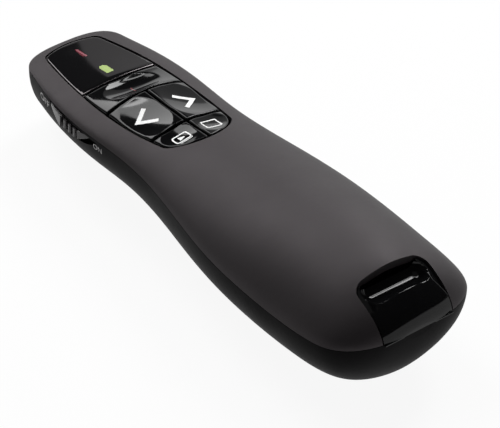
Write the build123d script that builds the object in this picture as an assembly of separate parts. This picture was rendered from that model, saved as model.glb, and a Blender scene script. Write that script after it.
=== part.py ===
from build123d import *
import os
from math import cos, radians, sin, sqrt

import numpy as np

# Wireless presentation clicker. Millimetres, +Z up, +Y towards the nose (the way it points),
# +X to the right, origin under the middle of the case on the surface it rests on.

# ---------------------------------------------------------------- overall
LENGTH = 115.5
WIDTH = 37.8
HEIGHT = 27.4
WAIST_WIDTH = 28.8
NOSE_WIDTH = 20.4
WALL = 1.6
SEAM = 0.12
FIT = 0.15
PAST = 5

# Rounding of the case ends: (reach along Y, squareness)
PLAN_NOSE = (5.0, 2.8)
PLAN_TAIL = (11.6, 2.8)
CROWN_NOSE = (4.2, 1.9)
CROWN_TAIL = (14.0, 2.0)
BELLY_NOSE = (5.0, 2.2)
BELLY_TAIL = (11.6, 2.2)
CROWN_SHAPE = (1.85, 0.7)
BELLY_SHAPE = (1.8, 0.45)
END_FLAT = 0.04
THIN_CROWN = 0.6
SINK_SOFT = 0.5

# Height of the widest line at the hips, where the case halves meet
GIRTH_HEIGHT = 16.1

# ---------------------------------------------------------------- control opening, from the nose
OPENING_START = 1.45
OPENING_CORNER = 2.9
WINDOW_END = 20.35
LASER_KEY_END = 29.15
ARROW_KEYS_END = 43.05
OPENING_SIDE_END = 47.0
OPENING_END = 51.2
OPENING_HALF = {"corner": 6.9, "window": 9.65, "laser": 10.0, "arrows": 9.1, "side": 8.5}
CORNER_RADIUS = 2.2
KEY_GAP = 0.3
KEY_SPLIT = 0.5
REBATE = 1.0
REBATE_SKIN = 0.9
FLANGE = 0.8
WINDOW_PLATE = 0.5
WINDOW_BODY = 1.3
WINDOW_LEDGE = 1.2
WINDOW_SLOPE = 0.105
WINDOW_BOW = 0.6
ARROW_RISE = 1.0
KEY_TRAVEL = 0.5

# ---------------------------------------------------------------- electronics
BOARD = 1.2
TACT = 5.0
TACT_BODY = 2.2
TACT_HEIGHT = 3.0
TACT_BASE = 0.3
PLUNGER = 1.2
PLUNGER_CLEAR = 0.1
ARROW_SWITCH_X = 5
SMALL_SWITCH = (4.2, 3.4)
BOARD_HALF = 11.0
TONGUE_HALF = 5.4
BOARD_START = 4.8
BOARD_SHOULDER = 15.2
BOARD_END = 51.4
PASSIVE_ROWS = (46.5, 26.5)
PASSIVE = (0.8, 1.6, 0.6)
PASSIVE_PITCH = 2.6
PASSIVES_IN_ROW = 6
ANTENNA_STRIP = (2.4, 0.4, 1.2)
ANTENNA_PITCH = 1.2
ANTENNA_FOLDS = 3
BATTERY_LAMP_FROM_NOSE = 15.2
LASER_LAMP_FROM_NOSE = 6.9
LAMP = (1.6, 1.0, 0.7)
LASER_BARREL = 3.2
LASER_BARREL_LENGTH = 12.0
LASER_HEIGHT = 8.4
LENS_RADIUS = 2.1
DIODE_RADIUS = 2.8
DIODE_CAN = 1.15
DIODE_DEPTH = 2.4
DIODE_THICK = 1.2
BEAM_BORE = 1.2
LASER_LEAD_X = 1.2
LASER_LEAD_BACK = 3.6
CRADLE_FROM_END = 2
CLAMP_HALF = 4.6
CLAMP_LEGS = 3
CLAMP_FROM_BACK = 4.5
CLAMP_LONG = 4
LASER_APERTURE = 2.5
BEZEL_LIP = 0.7
BEZEL_REACH = 4.2
BEZEL_SUNK = 0.45
GLASS_THICK = 0.8

# ---------------------------------------------------------------- side power switch, from the nose
SWITCH_START = 14.6
SWITCH_END = 32.7
SWITCH_DEPTH = 13.2
SWITCH_FLOOR = 1.1
SWITCH_TOP = 0.5
SWITCH_TALL = 3.3
SWITCH_TRAVEL = 2.2
KNOB_LENGTH = 14.2
KNOB_PROUD = 1.9
RIB_PITCH = 1.65
RIB_GROOVE = 0.8
RIBS = 3
RIB_SHIFT = 1.0
KNOB_CLEAR = 0.12
STEM_HALF = 1.2
STEM_TALL = 0.6
STEM_REACH = 1.9
STEM_FORWARD = 0.8
STEM_OVER_BOARD = 0.95
SWITCH_PAD_DROP = 2.5
SWITCH_WIDE = 3.0
SWITCH_HALF = 4.2
LEVER_HALF = 0.7
LEVER_TALL = 0.4
LEVER_IN = 1.4

# ---------------------------------------------------------------- battery bay, from the tail
CELL_RADIUS = 5.25
CELL_LENGTH = 44.5
CELL_NUB = 0.9
NUB_RADIUS = 1.9
CELL_SPREAD = 5.6
CELL_HEIGHT = 9.7
CELL_START = 9.6
SPRING_GAP = 2.3
SPRING_TURNS = 3
SPRING_RADIUS = 2.0
SPRING_FLARE = 0.5
SPRING_WIRE = 0.3
PLATE = 0.4
PLATE_HALF = 4.2
TRAY_WALL = 1.0
TRAY_TALL = 14.6
TRAY_FLOOR = 5.3
TRAY_RIB = (0.3, 3.2)
LEAD_SLOT = 0.8
LEAD_X = 2.6
LEAD_DROP = 1.5
LEAD_PAD = 1.6
LEAD_RADIUS = 0.45
DOOR_TOP = 4.9
DOOR_END = 56.0
DOOR_HALF = 11.6
DOOR_UNDERCUT = 1.3
GRIP_LINES = 4
GRIP_FROM_END = 8
GRIP_PITCH = 1.6
GRIP_DEEP = 0.45
GRIP_LONG = 14
GRIP_TAPER = 1.5

# ---------------------------------------------------------------- stowed receiver
RECEIVER_LENGTH = 54.0
RECEIVER_THICK = 6.3
RECEIVER_HALF = 8.1
RECEIVER_TILT = 2.0
RECEIVER_LIFT = 0.1
RECEIVER_CLEAR = 0.25
RECEIVER_ROUND = 1.8
CAP_HALF = 8.35
CAP_FRONT = 11.2
NOTCH_HALF = 8.6
NOTCH_START = 10.55
NOTCH_CORNER = 2.4
SCOOP_RADIUS = 3.0
SCOOP_HALF = 6.4
SCOOP_FROM_TAIL = 8.05
SCOOP_HEIGHT = 25.2
PLUG_LENGTH = 14.0
PLUG_HALF = 6.0
PLUG_THICK = 4.5
PLUG_SHEET = 0.3
PLUG_ROOT = 3
TONGUE_CLEAR = 0.1
TONGUE_SHORT = 0.4
LATCH_X = 2.5
LATCH_HALF = 1.1
LATCH_FROM_TIP = (7.5, 5)
CONTACT_X = (-3.5, -1.0, 1.0, 3.5)
CONTACT_TIPS = (1.2, 2.2)
CONTACT_HALF = 0.5
CONTACT_THICK = 0.15
RECEIVER_BOARD_HALF = 5.6
RECEIVER_BOARD = 0.8
RECEIVER_CHIP = (5, 5, 0.9)
RECEIVER_CRYSTAL = (3.2, 2.5, 0.7)
SHELL_WALL = 0.9
CAP_SKIN = 0.03
CAP_GAP = 0.25
BAY_FLOOR = 0.9
BAY_START = 3.2
BAY_LOWER = 1.2
BAY_EARS = (2.2, 1.8, 3)
BAY_EARS_FROM_TAIL = 24

# ---------------------------------------------------------------- fasteners
SCREW_RADIUS = 1.0
SCREW_CORE = 0.85
SCREW_HEAD = 1.9
CASE_SCREW_HEAD = 1.3
CASE_SCREW_BITE = 2.0
BOARD_SCREW_HEAD = 1.1
BOARD_SCREW_LONG = 5.0
CROSS_REACH = 1.1
CROSS_HALF = 0.25
CROSS_DEEP = 0.6
POST_RADIUS = 2.3
POST_GAP = 0.1
TAB_X = 8.6
TAB_HALF = 0.4
TAB_LONG = 3.0
TAB_BACK = 7.4
TAB_HANG = 2.5
CASE_SCREW_X = 6.5
CASE_SCREW_FROM_NOSE = 54.75
SCREW_SUNK = 3.4
BOARD_SCREW_FROM_NOSE = 33.6
BOARD_SCREW_X = 9.4

NOSE = LENGTH / 2
TAIL = -LENGTH / 2
SKY = HEIGHT * 2


def from_nose(distance):
    return NOSE - distance


def from_tail(distance):
    return TAIL + distance


# ---------------------------------------------------------------- laws of the case shape
def smooth_law(stations):
    """A natural cubic through (place, value) stations, as a function of the place."""
    places, values = np.array(sorted(stations)).T
    steps = np.diff(places)
    slopes = np.diff(values) / steps
    count = len(places)
    system = np.eye(count)
    right = np.zeros(count)
    for i in range(1, count - 1):
        system[i, i - 1 : i + 2] = steps[i - 1], 2 * (steps[i - 1] + steps[i]), steps[i]
        right[i] = 6 * (slopes[i] - slopes[i - 1])
    bend = np.linalg.solve(system, right)

    def law(place):
        i = min(max(int(np.searchsorted(places, place)) - 1, 0), count - 2)
        after, before = place - places[i], places[i + 1] - place
        cubic = (bend[i] * before**3 + bend[i + 1] * after**3) / (6 * steps[i])
        start = values[i] / steps[i] - bend[i] * steps[i] / 6
        finish = values[i + 1] / steps[i] - bend[i + 1] * steps[i] / 6
        return float(cubic + start * before + finish * after)

    return law


HIP = WIDTH / 2
WAIST = WAIST_WIDTH / 2
side_width = smooth_law([
    (from_tail(0), HIP - 2.1), (from_tail(15.75), HIP - 0.5), (from_tail(29.75), HIP),
    (from_tail(42.75), HIP - 0.5), (from_nose(57.75), WAIST + 1.7), (from_nose(47.75), WAIST + 0.3),
    (from_nose(37.75), WAIST), (from_nose(25.75), WAIST + 0.4), (from_nose(12.75), WAIST - 1.0),
    (from_nose(0), NOSE_WIDTH / 2),
])
crest = smooth_law([
    (from_tail(0), HEIGHT - 1.4), (from_tail(9.75), HEIGHT - 0.5), (from_tail(19.75), HEIGHT),
    (from_tail(30.75), HEIGHT - 0.6), (from_tail(42.75), HEIGHT - 2.0), (from_tail(54.75), HEIGHT - 3.4),
    (from_nose(49.75), HEIGHT - 4.7), (from_nose(39.75), HEIGHT - 6.0), (from_nose(29.75), HEIGHT - 7.3),
    (from_nose(20.75), HEIGHT - 8.2), (from_nose(11.75), HEIGHT - 9.4), (from_nose(0), HEIGHT - 11.4),
])
girth = smooth_law([
    (from_tail(0), GIRTH_HEIGHT + 1.9), (from_tail(7.75), GIRTH_HEIGHT + 0.9),
    (from_tail(15.75), GIRTH_HEIGHT + 0.2), (from_tail(27.75), GIRTH_HEIGHT),
    (from_tail(42.75), GIRTH_HEIGHT + 0.4), (from_tail(57.75), GIRTH_HEIGHT + 1.0),
    (from_nose(42.75), GIRTH_HEIGHT + 0.8), (from_nose(27.75), GIRTH_HEIGHT + 0.2),
    (from_nose(17.75), GIRTH_HEIGHT - 0.1), (from_nose(7.75), GIRTH_HEIGHT - 0.4),
    (from_nose(0), GIRTH_HEIGHT - 0.5),
])
keel = smooth_law([
    (from_tail(0), 2.6), (from_tail(11.75), 0.9), (from_tail(21.75), -0.4), (from_tail(33.75), -0.5),
    (from_tail(47.75), -0.45), (from_tail(59.75), 0.1), (from_nose(43.75), 1.7),
    (from_nose(32.75), 1.9), (from_nose(19.75), 1.5), (from_nose(0), 0.5),
])


def end_round(distance, rounding, inset):
    """Share of the full size that is left at a distance from a rounded end."""
    reach, squareness = rounding
    share = min(max((distance + END_FLAT) / (reach - inset), 0), 1)
    return (1 - (1 - share) ** squareness) ** (1 / squareness)


def ends(y, nose_rounding, tail_rounding, inset):
    """Both rounded ends together, for a skin that lies inset under the case."""
    to_nose = NOSE - inset - y
    to_tail = y - TAIL - inset
    return end_round(to_nose, nose_rounding, inset) * end_round(to_tail, tail_rounding, inset)


def section_size(y, inset=0.0):
    """Half width, height of the widest line, and height of the crown and depth of the belly from it."""
    half = side_width(y) * ends(y, PLAN_NOSE, PLAN_TAIL, inset) - inset
    line = girth(y)
    crown = (crest(y) - line) * ends(y, CROWN_NOSE, CROWN_TAIL, inset)
    belly = (line - keel(y)) * ends(y, BELLY_NOSE, BELLY_TAIL, inset)
    if inset > 0:
        # Where the crown is thinner than the wall the inner skin widest line sinks under it.
        short = inset + THIN_CROWN - crown
        sink = SINK_SOFT + (short + sqrt(short**2 + SINK_SOFT**2)) / 2
        line, crown, belly = line - sink, crown + sink - inset, belly - sink - inset
    return half, line, crown, belly


def skin_top(x, y, inset=0.0):
    """Height of the case top above a point of the plan."""
    half, line, crown, _ = section_size(y, inset)
    share = min(abs(x) / half, 1)
    return line + crown * (1 - share ** CROWN_SHAPE[0]) ** CROWN_SHAPE[1]


def skin_under(x, y, inset=0.0):
    """Height of the case underside above a point of the plan."""
    half, line, _, belly = section_size(y, inset)
    share = min(abs(x) / half, 1)
    return line - belly * (1 - share ** BELLY_SHAPE[0]) ** BELLY_SHAPE[1]


SECTION_SHARES = (1, 0.975, 0.9, 0.75, 0.52, 0.26, 0)
END_STEPS = (0, 0.15, 0.6, 1.5, 3.2, 6.2, 11)
MIDDLE_SECTIONS = 8
MIDDLE_FROM_TAIL = 18
MIDDLE_FROM_NOSE = 17


def half_section(y, inset, drop, shape, sign):
    """Points of one half of a cross-section, from its widest line moved by drop."""
    half, line, crown, belly = section_size(y, inset)
    height = (crown if sign > 0 else belly) - drop
    base = line + sign * drop
    right = [(half * s, y, base + sign * height * (1 - s ** shape[0]) ** shape[1]) for s in SECTION_SHARES]
    return [(-x, y, z) for x, y, z in right] + right[-2::-1]


def skin(inset=0.0, half="whole"):
    """Closed solid of the case shape, inset under the outer surface, whole or one half of it."""
    tail_end, nose_end = TAIL + inset, NOSE - inset
    stations = [tail_end + step for step in END_STEPS]
    stations += list(np.linspace(tail_end + MIDDLE_FROM_TAIL, nose_end - MIDDLE_FROM_NOSE, MIDDLE_SECTIONS))
    stations += [nose_end - step for step in reversed(END_STEPS)]
    sections = []
    for y in stations:
        over = half_section(y, inset, 0, CROWN_SHAPE, 1)
        under = half_section(y, inset, SEAM if half == "under" else 0, BELLY_SHAPE, -1)[::-1]
        if half == "over":
            edges = [Spline(*over).edge(), Line(over[-1], over[0]).edge()]
        elif half == "under":
            edges = [Spline(*under).edge(), Line(under[-1], under[0]).edge()]
        else:
            edges = [Spline(*over).edge(), Spline(*under).edge()]
        sections.append(Face(Wire(edges)))
    return loft(sections)


# ---------------------------------------------------------------- plain helpers
def block(x0, x1, y0, y1, z0, z1):
    return Pos((x0 + x1) / 2, (y0 + y1) / 2, (z0 + z1) / 2) * Box(x1 - x0, y1 - y0, z1 - z0)


def upright(x, y, radius, z0, z1):
    return Pos(x, y, (z0 + z1) / 2) * Cylinder(radius, z1 - z0)


def along_y(x, z, radius, y0, y1):
    return Pos(x, (y0 + y1) / 2, z) * Rot(90, 0, 0) * Cylinder(radius, y1 - y0)


def both_sides(x):
    return (-x, x)


def opening_half(y):
    """Half width of the control opening along its side."""
    law = smooth_law([
        (from_nose(OPENING_CORNER), OPENING_HALF["corner"]), (from_nose(WINDOW_END), OPENING_HALF["window"]),
        (from_nose(LASER_KEY_END), OPENING_HALF["laser"]), (from_nose(ARROW_KEYS_END), OPENING_HALF["arrows"]),
        (from_nose(OPENING_SIDE_END), OPENING_HALF["side"]),
    ])
    return law(y)


def opening_plan(grow=0.0):
    """Flat outline of the control opening, grown outwards."""
    inner = [from_nose(d) for d in (WINDOW_END, LASER_KEY_END, ARROW_KEYS_END)]
    sides = [from_nose(OPENING_CORNER) + grow] + inner + [from_nose(OPENING_SIDE_END) - grow]
    right = [(opening_half(y) + grow, y) for y in sides]
    left = [(-x, y) for x, y in right]
    edges = [
        Spline(*right).edge(),
        ThreePointArc(right[-1], (0, from_nose(OPENING_END) - grow), left[-1]).edge(),
        Spline(*left[::-1]).edge(),
        ThreePointArc(left[0], (0, from_nose(OPENING_START) + grow), right[0]).edge(),
    ]
    face = Face(Wire(edges))
    return fillet(face.vertices(), CORNER_RADIUS + grow)


def opening_prism(grow, z0, z1):
    return Pos(0, 0, z0) * extrude(opening_plan(grow), z1 - z0, dir=(0, 0, 1))


def under_surface(height, x_reach, y0, y1, across=7, along=9):
    """Solid that fills everything under a height law over a stretch of the plan."""
    xs = np.linspace(-x_reach, x_reach, across)
    ys = np.linspace(y0, y1, along)
    face = Face.make_surface_from_array_of_points([[(x, y, height(x, y)) for y in ys] for x in xs])
    return extrude(face, SKY, dir=(0, 0, -1))


INNER = skin(WALL)
LINED = skin(WALL + FIT)
FLOOR_CUT = block(-WIDTH, WIDTH, TAIL - PAST, NOSE + PAST, -HEIGHT, 0)

# ---------------------------------------------------------------- levels that follow from the shape
FLANGE_TOP = skin_top(OPENING_HALF["window"], from_nose(WINDOW_END)) - REBATE_SKIN - FIT
FLANGE_UNDER = FLANGE_TOP - FLANGE
BOARD_TOP = FLANGE_UNDER - TACT_HEIGHT
BOARD_UNDER = BOARD_TOP - BOARD
RECEIVER_FOOT = girth(TAIL) + RECEIVER_LIFT
TILT = radians(RECEIVER_TILT)


def receiver_floor(y):
    """Height of the receiver underside, which dips towards the nose."""
    return RECEIVER_FOOT - (y - TAIL) * sin(TILT) / cos(TILT)


def stowed(part):
    """Moves a piece from the receiver frame, tail at y = 0 and underside at z = 0, to its stowed place."""
    return Pos(0, TAIL, RECEIVER_FOOT) * Rot(-RECEIVER_TILT, 0, 0) * part


def receiver_block(grow, y0, y1):
    """Rounded bar with the section of the receiver, in the receiver frame."""
    reach = RECEIVER_HALF + grow
    bar = block(-reach, reach, y0, y1, -grow, RECEIVER_THICK + grow)
    return fillet(bar.edges().filter_by(Axis.Y), RECEIVER_ROUND + grow)


def window_top(x, y):
    forward = y - from_nose(WINDOW_END)
    level = skin_top(OPENING_HALF["window"], from_nose(WINDOW_END)) - WINDOW_SLOPE * forward
    bow = max(1 - forward / (WINDOW_END - OPENING_CORNER), 0) ** 2
    return level + WINDOW_BOW * bow * (1 - (x / OPENING_HALF["window"]) ** 2)


def laser_key_top(x, y):
    """Dips between the window edge and the raised arrow keys."""
    back = (from_nose(WINDOW_END) - y) / (LASER_KEY_END - WINDOW_END)
    across = 1 - (x / OPENING_HALF["laser"]) ** 2
    front_level = window_top(x, from_nose(WINDOW_END)) - skin_top(x, from_nose(WINDOW_END))
    return skin_top(x, y) + front_level * (1 - back) + ARROW_RISE * across * back**2


def arrow_key_top(x, y):
    back = (y - from_nose(ARROW_KEYS_END)) / (ARROW_KEYS_END - LASER_KEY_END)
    return skin_top(x, y) + ARROW_RISE * max(back, 0) * (1 - (x / OPENING_HALF["laser"]) ** 2)


# ---------------------------------------------------------------- case
def notch_prism(half, start, z0):
    """Cut for the receiver through the tail of the top, rounded at its two front corners."""
    y0, y1 = TAIL - PAST, from_tail(start)
    face = Pos(0, (y0 + y1) / 2) * Rectangle(2 * half, y1 - y0)
    front = face.vertices().sort_by(Axis.Y)[-2:]
    return Pos(0, 0, z0) * extrude(fillet(front, NOTCH_CORNER), SKY, dir=(0, 0, 1))


def post_places():
    return [(x, from_nose(CASE_SCREW_FROM_NOSE)) for x in both_sides(CASE_SCREW_X)]


def tube(x, y, radius, bore, z0, z1):
    return upright(x, y, radius, z0, z1) - upright(x, y, bore, z0, z1)


def top_case():
    key_y0, key_y1 = from_nose(OPENING_END) - PAST, from_nose(WINDOW_END)
    keys_zone = block(-WIDTH, WIDTH, key_y0, key_y1, 0, SKY)
    window_zone = block(-WIDTH, WIDTH, key_y1, NOSE, 0, SKY)
    plate_seat = under_surface(lambda x, y: window_top(x, y) - WINDOW_PLATE, HIP, key_y1 - 2, NOSE + 2)
    whole, narrow = opening_prism(0, 0, SKY), opening_prism(-WINDOW_LEDGE, 0, SKY)
    rebate_reach = OPENING_HALF["laser"] + 2 * REBATE
    rebate_top = under_surface(lambda x, y: skin_top(x, y) - REBATE_SKIN, rebate_reach, key_y0, key_y1)
    rebate = opening_prism(REBATE, 0, SKY) & keys_zone & rebate_top
    cuts = [
        whole & keys_zone, rebate, (whole & window_zone) - plate_seat,
        narrow & window_zone, notch_prism(NOTCH_HALF, NOTCH_START, 0),
        stowed(receiver_block(RECEIVER_CLEAR, -CAP_FRONT, 2 * NOTCH_START)),
    ]
    bosses = [
        tube(x, y, POST_RADIUS, SCREW_CORE, BOARD_TOP + POST_GAP, skin_top(x, y) - WALL / 2)
        for x, y in post_places()
    ]
    return (skin(half="over") - INNER - cuts) + bosses + nose_tabs()


def nose_tab(x, grow, top):
    """Bar of one tab up to a level, grown on its other sides."""
    y0, y1 = NOSE - WALL - TAB_BACK, NOSE - WALL - TAB_BACK + TAB_LONG
    reach = TAB_HALF + grow
    return block(x - reach, x + reach, y0 - grow, y1 + grow, girth(y0) - TAB_HANG - grow, top)


def nose_tabs():
    """Two tabs that tuck into pockets of the bottom half and hold the case shut at the nose."""
    front = NOSE - WALL - TAB_BACK + TAB_LONG
    root = (girth(front) + skin_top(TAB_X + TAB_HALF, front)) / 2
    return [nose_tab(x, 0, root) for x in both_sides(TAB_X)]


def switch_outline(shrink, y0, y1):
    """Flat-topped lens of the switch recess, in the YZ plane."""
    middle = (y0 + y1) / 2
    top = girth(middle) - SWITCH_TOP - shrink
    ends_yz = ((0, y0 + shrink, top), (0, y1 - shrink, top))
    arc = ThreePointArc(ends_yz[0], (0, middle, top - SWITCH_TALL + 2 * shrink), ends_yz[1])
    return Face(Wire([arc.edge(), Line(*ends_yz[::-1]).edge()]))


def door_prism(grow):
    """Dovetail bar that cuts the battery door out of the belly."""
    top, low = DOOR_HALF + grow, DOOR_HALF - DOOR_UNDERCUT + grow
    corners = [(-low, 0, -1), (low, 0, -1), (top, 0, DOOR_TOP + grow), (-top, 0, DOOR_TOP + grow)]
    face = Face(Wire(Polyline(*corners, close=True).edges()))
    return Pos(0, TAIL - PAST, 0) * extrude(face, DOOR_END + PAST + grow, dir=(0, 1, 0))


def bottom_case():
    y0, y1 = from_nose(SWITCH_END), from_nose(SWITCH_START)
    board_y = from_nose(BOARD_SCREW_FROM_NOSE)
    pad = block(-WIDTH, -SWITCH_DEPTH + SWITCH_FLOOR, y0 - 1, y1 + 1,
                BOARD_UNDER - SWITCH_PAD_DROP, BOARD_TOP + TACT_BODY - TACT_BASE)
    inside = [pad, laser_cradle()]
    inside += [upright(x, y, POST_RADIUS, 0, BOARD_TOP) for x, y in post_places()]
    inside += [
        tube(x, board_y, POST_RADIUS - 0.5, SCREW_CORE, 0, BOARD_UNDER)
        for x in both_sides(BOARD_SCREW_X)
    ]
    added = [piece & skin(WALL / 2, half="under") for piece in inside]
    slot_y, slot_z = knob_stem_place()
    slot = block(-SWITCH_DEPTH - 1, -SWITCH_DEPTH + SWITCH_FLOOR + 1,
                 slot_y - STEM_HALF - SWITCH_TRAVEL - FIT, slot_y + STEM_HALF + FIT,
                 slot_z - STEM_TALL - FIT, slot_z + STEM_TALL + FIT)
    recess = Pos(-SWITCH_DEPTH, 0, 0) * extrude(switch_outline(0, y0, y1), WIDTH, dir=(-1, 0, 0))
    aperture = along_y(0, LASER_HEIGHT, LASER_APERTURE + FIT, NOSE - 3 * WALL, NOSE + 1)
    cuts = [door_prism(SEAM), FLOOR_CUT, slot, recess, aperture, opening_prism(-WINDOW_LEDGE, BOARD_UNDER, SKY)]
    cuts += [nose_tab(x, FIT, SKY) for x in both_sides(TAB_X)]
    for x, y in post_places():
        cuts.append(upright(x, y, SCREW_RADIUS + FIT, -1, SKY))
        cuts.append(upright(x, y, SCREW_HEAD + FIT, -1, skin_under(x, y) + SCREW_SUNK))
    return (skin(half="under") - INNER + added) - cuts


def laser_cradle():
    """Saddle on the floor of the bottom half that the laser barrel lies in."""
    y0, y1 = BARREL_BACK + CRADLE_FROM_END, BARREL_FRONT - CRADLE_FROM_END
    half = LASER_BARREL - 0.4
    cradle = block(-half, half, y0, y1, 0, LASER_HEIGHT - 1)
    return cradle - along_y(0, LASER_HEIGHT, LASER_BARREL, y0 - 1, y1 + 1)


def battery_door():
    cuts = [FLOOR_CUT]
    for step in range(GRIP_LINES):
        y = from_tail(DOOR_END) - GRIP_FROM_END - GRIP_PITCH * step
        line = Rot(0, 90, 0) * Cylinder(GRIP_DEEP, GRIP_LONG - GRIP_TAPER * step)
        cuts.append(Pos(0, y, max(skin_under(0, y), 0)) * line)
    return ((skin(half="under") - INNER) & door_prism(0)) - cuts


# ---------------------------------------------------------------- window and keys
def status_window():
    zone = block(-WIDTH, WIDTH, from_nose(WINDOW_END) + KEY_SPLIT / 2, NOSE, 0, SKY)
    surface = under_surface(window_top, HIP, from_nose(WINDOW_END) - 2, NOSE + 2)
    under_plate = under_surface(lambda x, y: window_top(x, y) - WINDOW_PLATE + 0.02, HIP,
                                from_nose(WINDOW_END) - 2, NOSE + 2)
    under_body = under_surface(lambda x, y: window_top(x, y) - WINDOW_BODY, HIP,
                               from_nose(WINDOW_END) - 2, NOSE + 2)
    plate = ((opening_prism(-FIT, 0, SKY) & zone) & surface) - under_plate
    body = ((opening_prism(-WINDOW_LEDGE - FIT, 0, SKY) & zone) & surface) - under_body
    return plate + body


def key(y0, y1, x0, x1, height, flange_sides):
    """A rigid key: its cap between the gaps, and a flange under the rebate of the case."""
    gap = KEY_SPLIT / 2
    zone = block(x0 + gap if x0 == 0 else x0, x1 - gap if x1 == 0 else x1, y0, y1, 0, SKY)
    surface = under_surface(height, HIP, from_nose(OPENING_END) - 4, from_nose(WINDOW_END) + 3, along=11)
    cap = (opening_prism(-KEY_GAP, FLANGE_UNDER, SKY) & zone) & surface
    rim = opening_prism(REBATE - KEY_GAP, FLANGE_UNDER, FLANGE_TOP) & zone & flange_sides
    return cap + rim


def key_spans():
    gap = KEY_SPLIT / 2
    window, arc = from_nose(WINDOW_END), from_nose(LASER_KEY_END)
    arrows, low = from_nose(ARROW_KEYS_END), from_nose(OPENING_END) - PAST
    return {
        "laser_button": (arc + gap, window - gap, -WIDTH, WIDTH, laser_key_top),
        "back_button": (arrows + gap, arc - gap, -WIDTH, 0, arrow_key_top),
        "next_button": (arrows + gap, arc - gap, 0, WIDTH, arrow_key_top),
        "slideshow_button": (low, arrows - gap, -WIDTH, 0, arrow_key_top),
        "blank_button": (low, arrows - gap, 0, WIDTH, arrow_key_top),
    }


def key_switch_places():
    """Centre of the small switch under each key."""
    laser_y = from_nose((WINDOW_END + LASER_KEY_END) / 2)
    arrow_y = from_nose((LASER_KEY_END + ARROW_KEYS_END) / 2)
    small_x, small_y = SMALL_SWITCH[0], from_nose(ARROW_KEYS_END + SMALL_SWITCH[1])
    return {
        "laser_button": (0, laser_y),
        "back_button": (-ARROW_SWITCH_X, arrow_y), "next_button": (ARROW_SWITCH_X, arrow_y),
        "slideshow_button": (-small_x, small_y), "blank_button": (small_x, small_y),
    }


# ---------------------------------------------------------------- board and what it carries
def main_board():
    back, shoulder, front = from_nose(BOARD_END), from_nose(BOARD_SHOULDER), from_nose(BOARD_START)
    board = block(-BOARD_HALF, BOARD_HALF, back, shoulder, BOARD_UNDER, BOARD_TOP)
    board += block(-TONGUE_HALF, TONGUE_HALF, shoulder, front, BOARD_UNDER, BOARD_TOP)
    for x in both_sides(BOARD_SCREW_X):
        board -= upright(x, from_nose(BOARD_SCREW_FROM_NOSE), SCREW_RADIUS + FIT, 0, SKY)
    return board


def tact_switches():
    bodies = []
    for x, y in key_switch_places().values():
        body = block(x - TACT / 2, x + TACT / 2, y - TACT / 2, y + TACT / 2, BOARD_TOP, BOARD_TOP + TACT_BODY)
        body -= upright(x, y, PLUNGER + PLUNGER_CLEAR, BOARD_TOP + TACT_BASE, SKY)
        bodies.append(body)
    return Compound(children=bodies)


def plunger(name):
    x, y = key_switch_places()[name]
    return upright(x, y, PLUNGER, BOARD_TOP + TACT_BASE + KEY_TRAVEL + PLUNGER_CLEAR, FLANGE_UNDER)


def chip(x, y, wide, long, tall, under=True):
    if under:
        return block(x - wide / 2, x + wide / 2, y - long / 2, y + long / 2, BOARD_UNDER - tall, BOARD_UNDER)
    return block(x - wide / 2, x + wide / 2, y - long / 2, y + long / 2, BOARD_TOP, BOARD_TOP + tall)


def passives():
    """Chip resistors and capacitors in two rows under the board."""
    pieces = []
    for from_nose_distance in PASSIVE_ROWS:
        for step in range(PASSIVES_IN_ROW):
            x = PASSIVE_PITCH * (step - (PASSIVES_IN_ROW - 1) / 2)
            pieces.append(chip(x, from_nose(from_nose_distance), *PASSIVE))
    return Compound(children=pieces)


def antenna():
    """Folded strip antenna that stands on the rear corner of the board."""
    long, thin, tall = ANTENNA_STRIP
    x, y = BOARD_HALF - long / 2 - 1, from_nose(BOARD_END) + 4 * thin
    strip = chip(x, y, *ANTENNA_STRIP)
    for step in range(1, ANTENNA_FOLDS + 1):
        strip += chip(x, y + ANTENNA_PITCH * step, *ANTENNA_STRIP)
        side = (long - thin) / 2 if step % 2 else (thin - long) / 2
        strip += chip(x + side, y + ANTENNA_PITCH * (step - 0.5), thin, ANTENNA_PITCH + thin, tall)
    return strip


def light_guide(from_nose_distance, half_x, half_y):
    """Clear post that carries the light of a lamp on the board up to the window."""
    y = from_nose(from_nose_distance)
    top = window_top(0, y + half_y) - WINDOW_BODY - FIT
    return block(-half_x, half_x, y - half_y, y + half_y, BOARD_TOP + LAMP[2] + PLUNGER_CLEAR, top)


def lamp(from_nose_distance):
    return chip(0, from_nose(from_nose_distance), *LAMP, under=False)


# ---------------------------------------------------------------- laser pointer
BARREL_FRONT = NOSE - BEZEL_REACH
BARREL_BACK = BARREL_FRONT - LASER_BARREL_LENGTH


def laser_barrel():
    barrel = along_y(0, LASER_HEIGHT, LASER_BARREL, BARREL_BACK, BARREL_FRONT)
    barrel -= along_y(0, LASER_HEIGHT, LENS_RADIUS, BARREL_BACK + DIODE_DEPTH + 1.6, BARREL_FRONT + 1)
    barrel -= along_y(0, LASER_HEIGHT, DIODE_RADIUS, BARREL_BACK - 1, BARREL_BACK + DIODE_DEPTH)
    barrel -= along_y(0, LASER_HEIGHT, BEAM_BORE, BARREL_BACK, BARREL_FRONT)
    return barrel


def laser_diode():
    seat = BARREL_BACK + DIODE_DEPTH
    diode = along_y(0, LASER_HEIGHT, DIODE_RADIUS, seat - DIODE_THICK, seat)
    return diode + along_y(0, LASER_HEIGHT, DIODE_CAN, seat, seat + DIODE_THICK)


def laser_lens():
    return along_y(0, LASER_HEIGHT, LENS_RADIUS, BARREL_FRONT - 3.2, BARREL_FRONT - 1.4)


def laser_bezel():
    """Flanged ring in the nose, with the clear aperture behind it."""
    face = NOSE - BEZEL_SUNK
    ring = along_y(0, LASER_HEIGHT, LASER_APERTURE, BARREL_FRONT, face)
    ring -= along_y(0, LASER_HEIGHT, LASER_APERTURE - BEZEL_LIP, BARREL_FRONT - 1, face + 1)
    return ring


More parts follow.
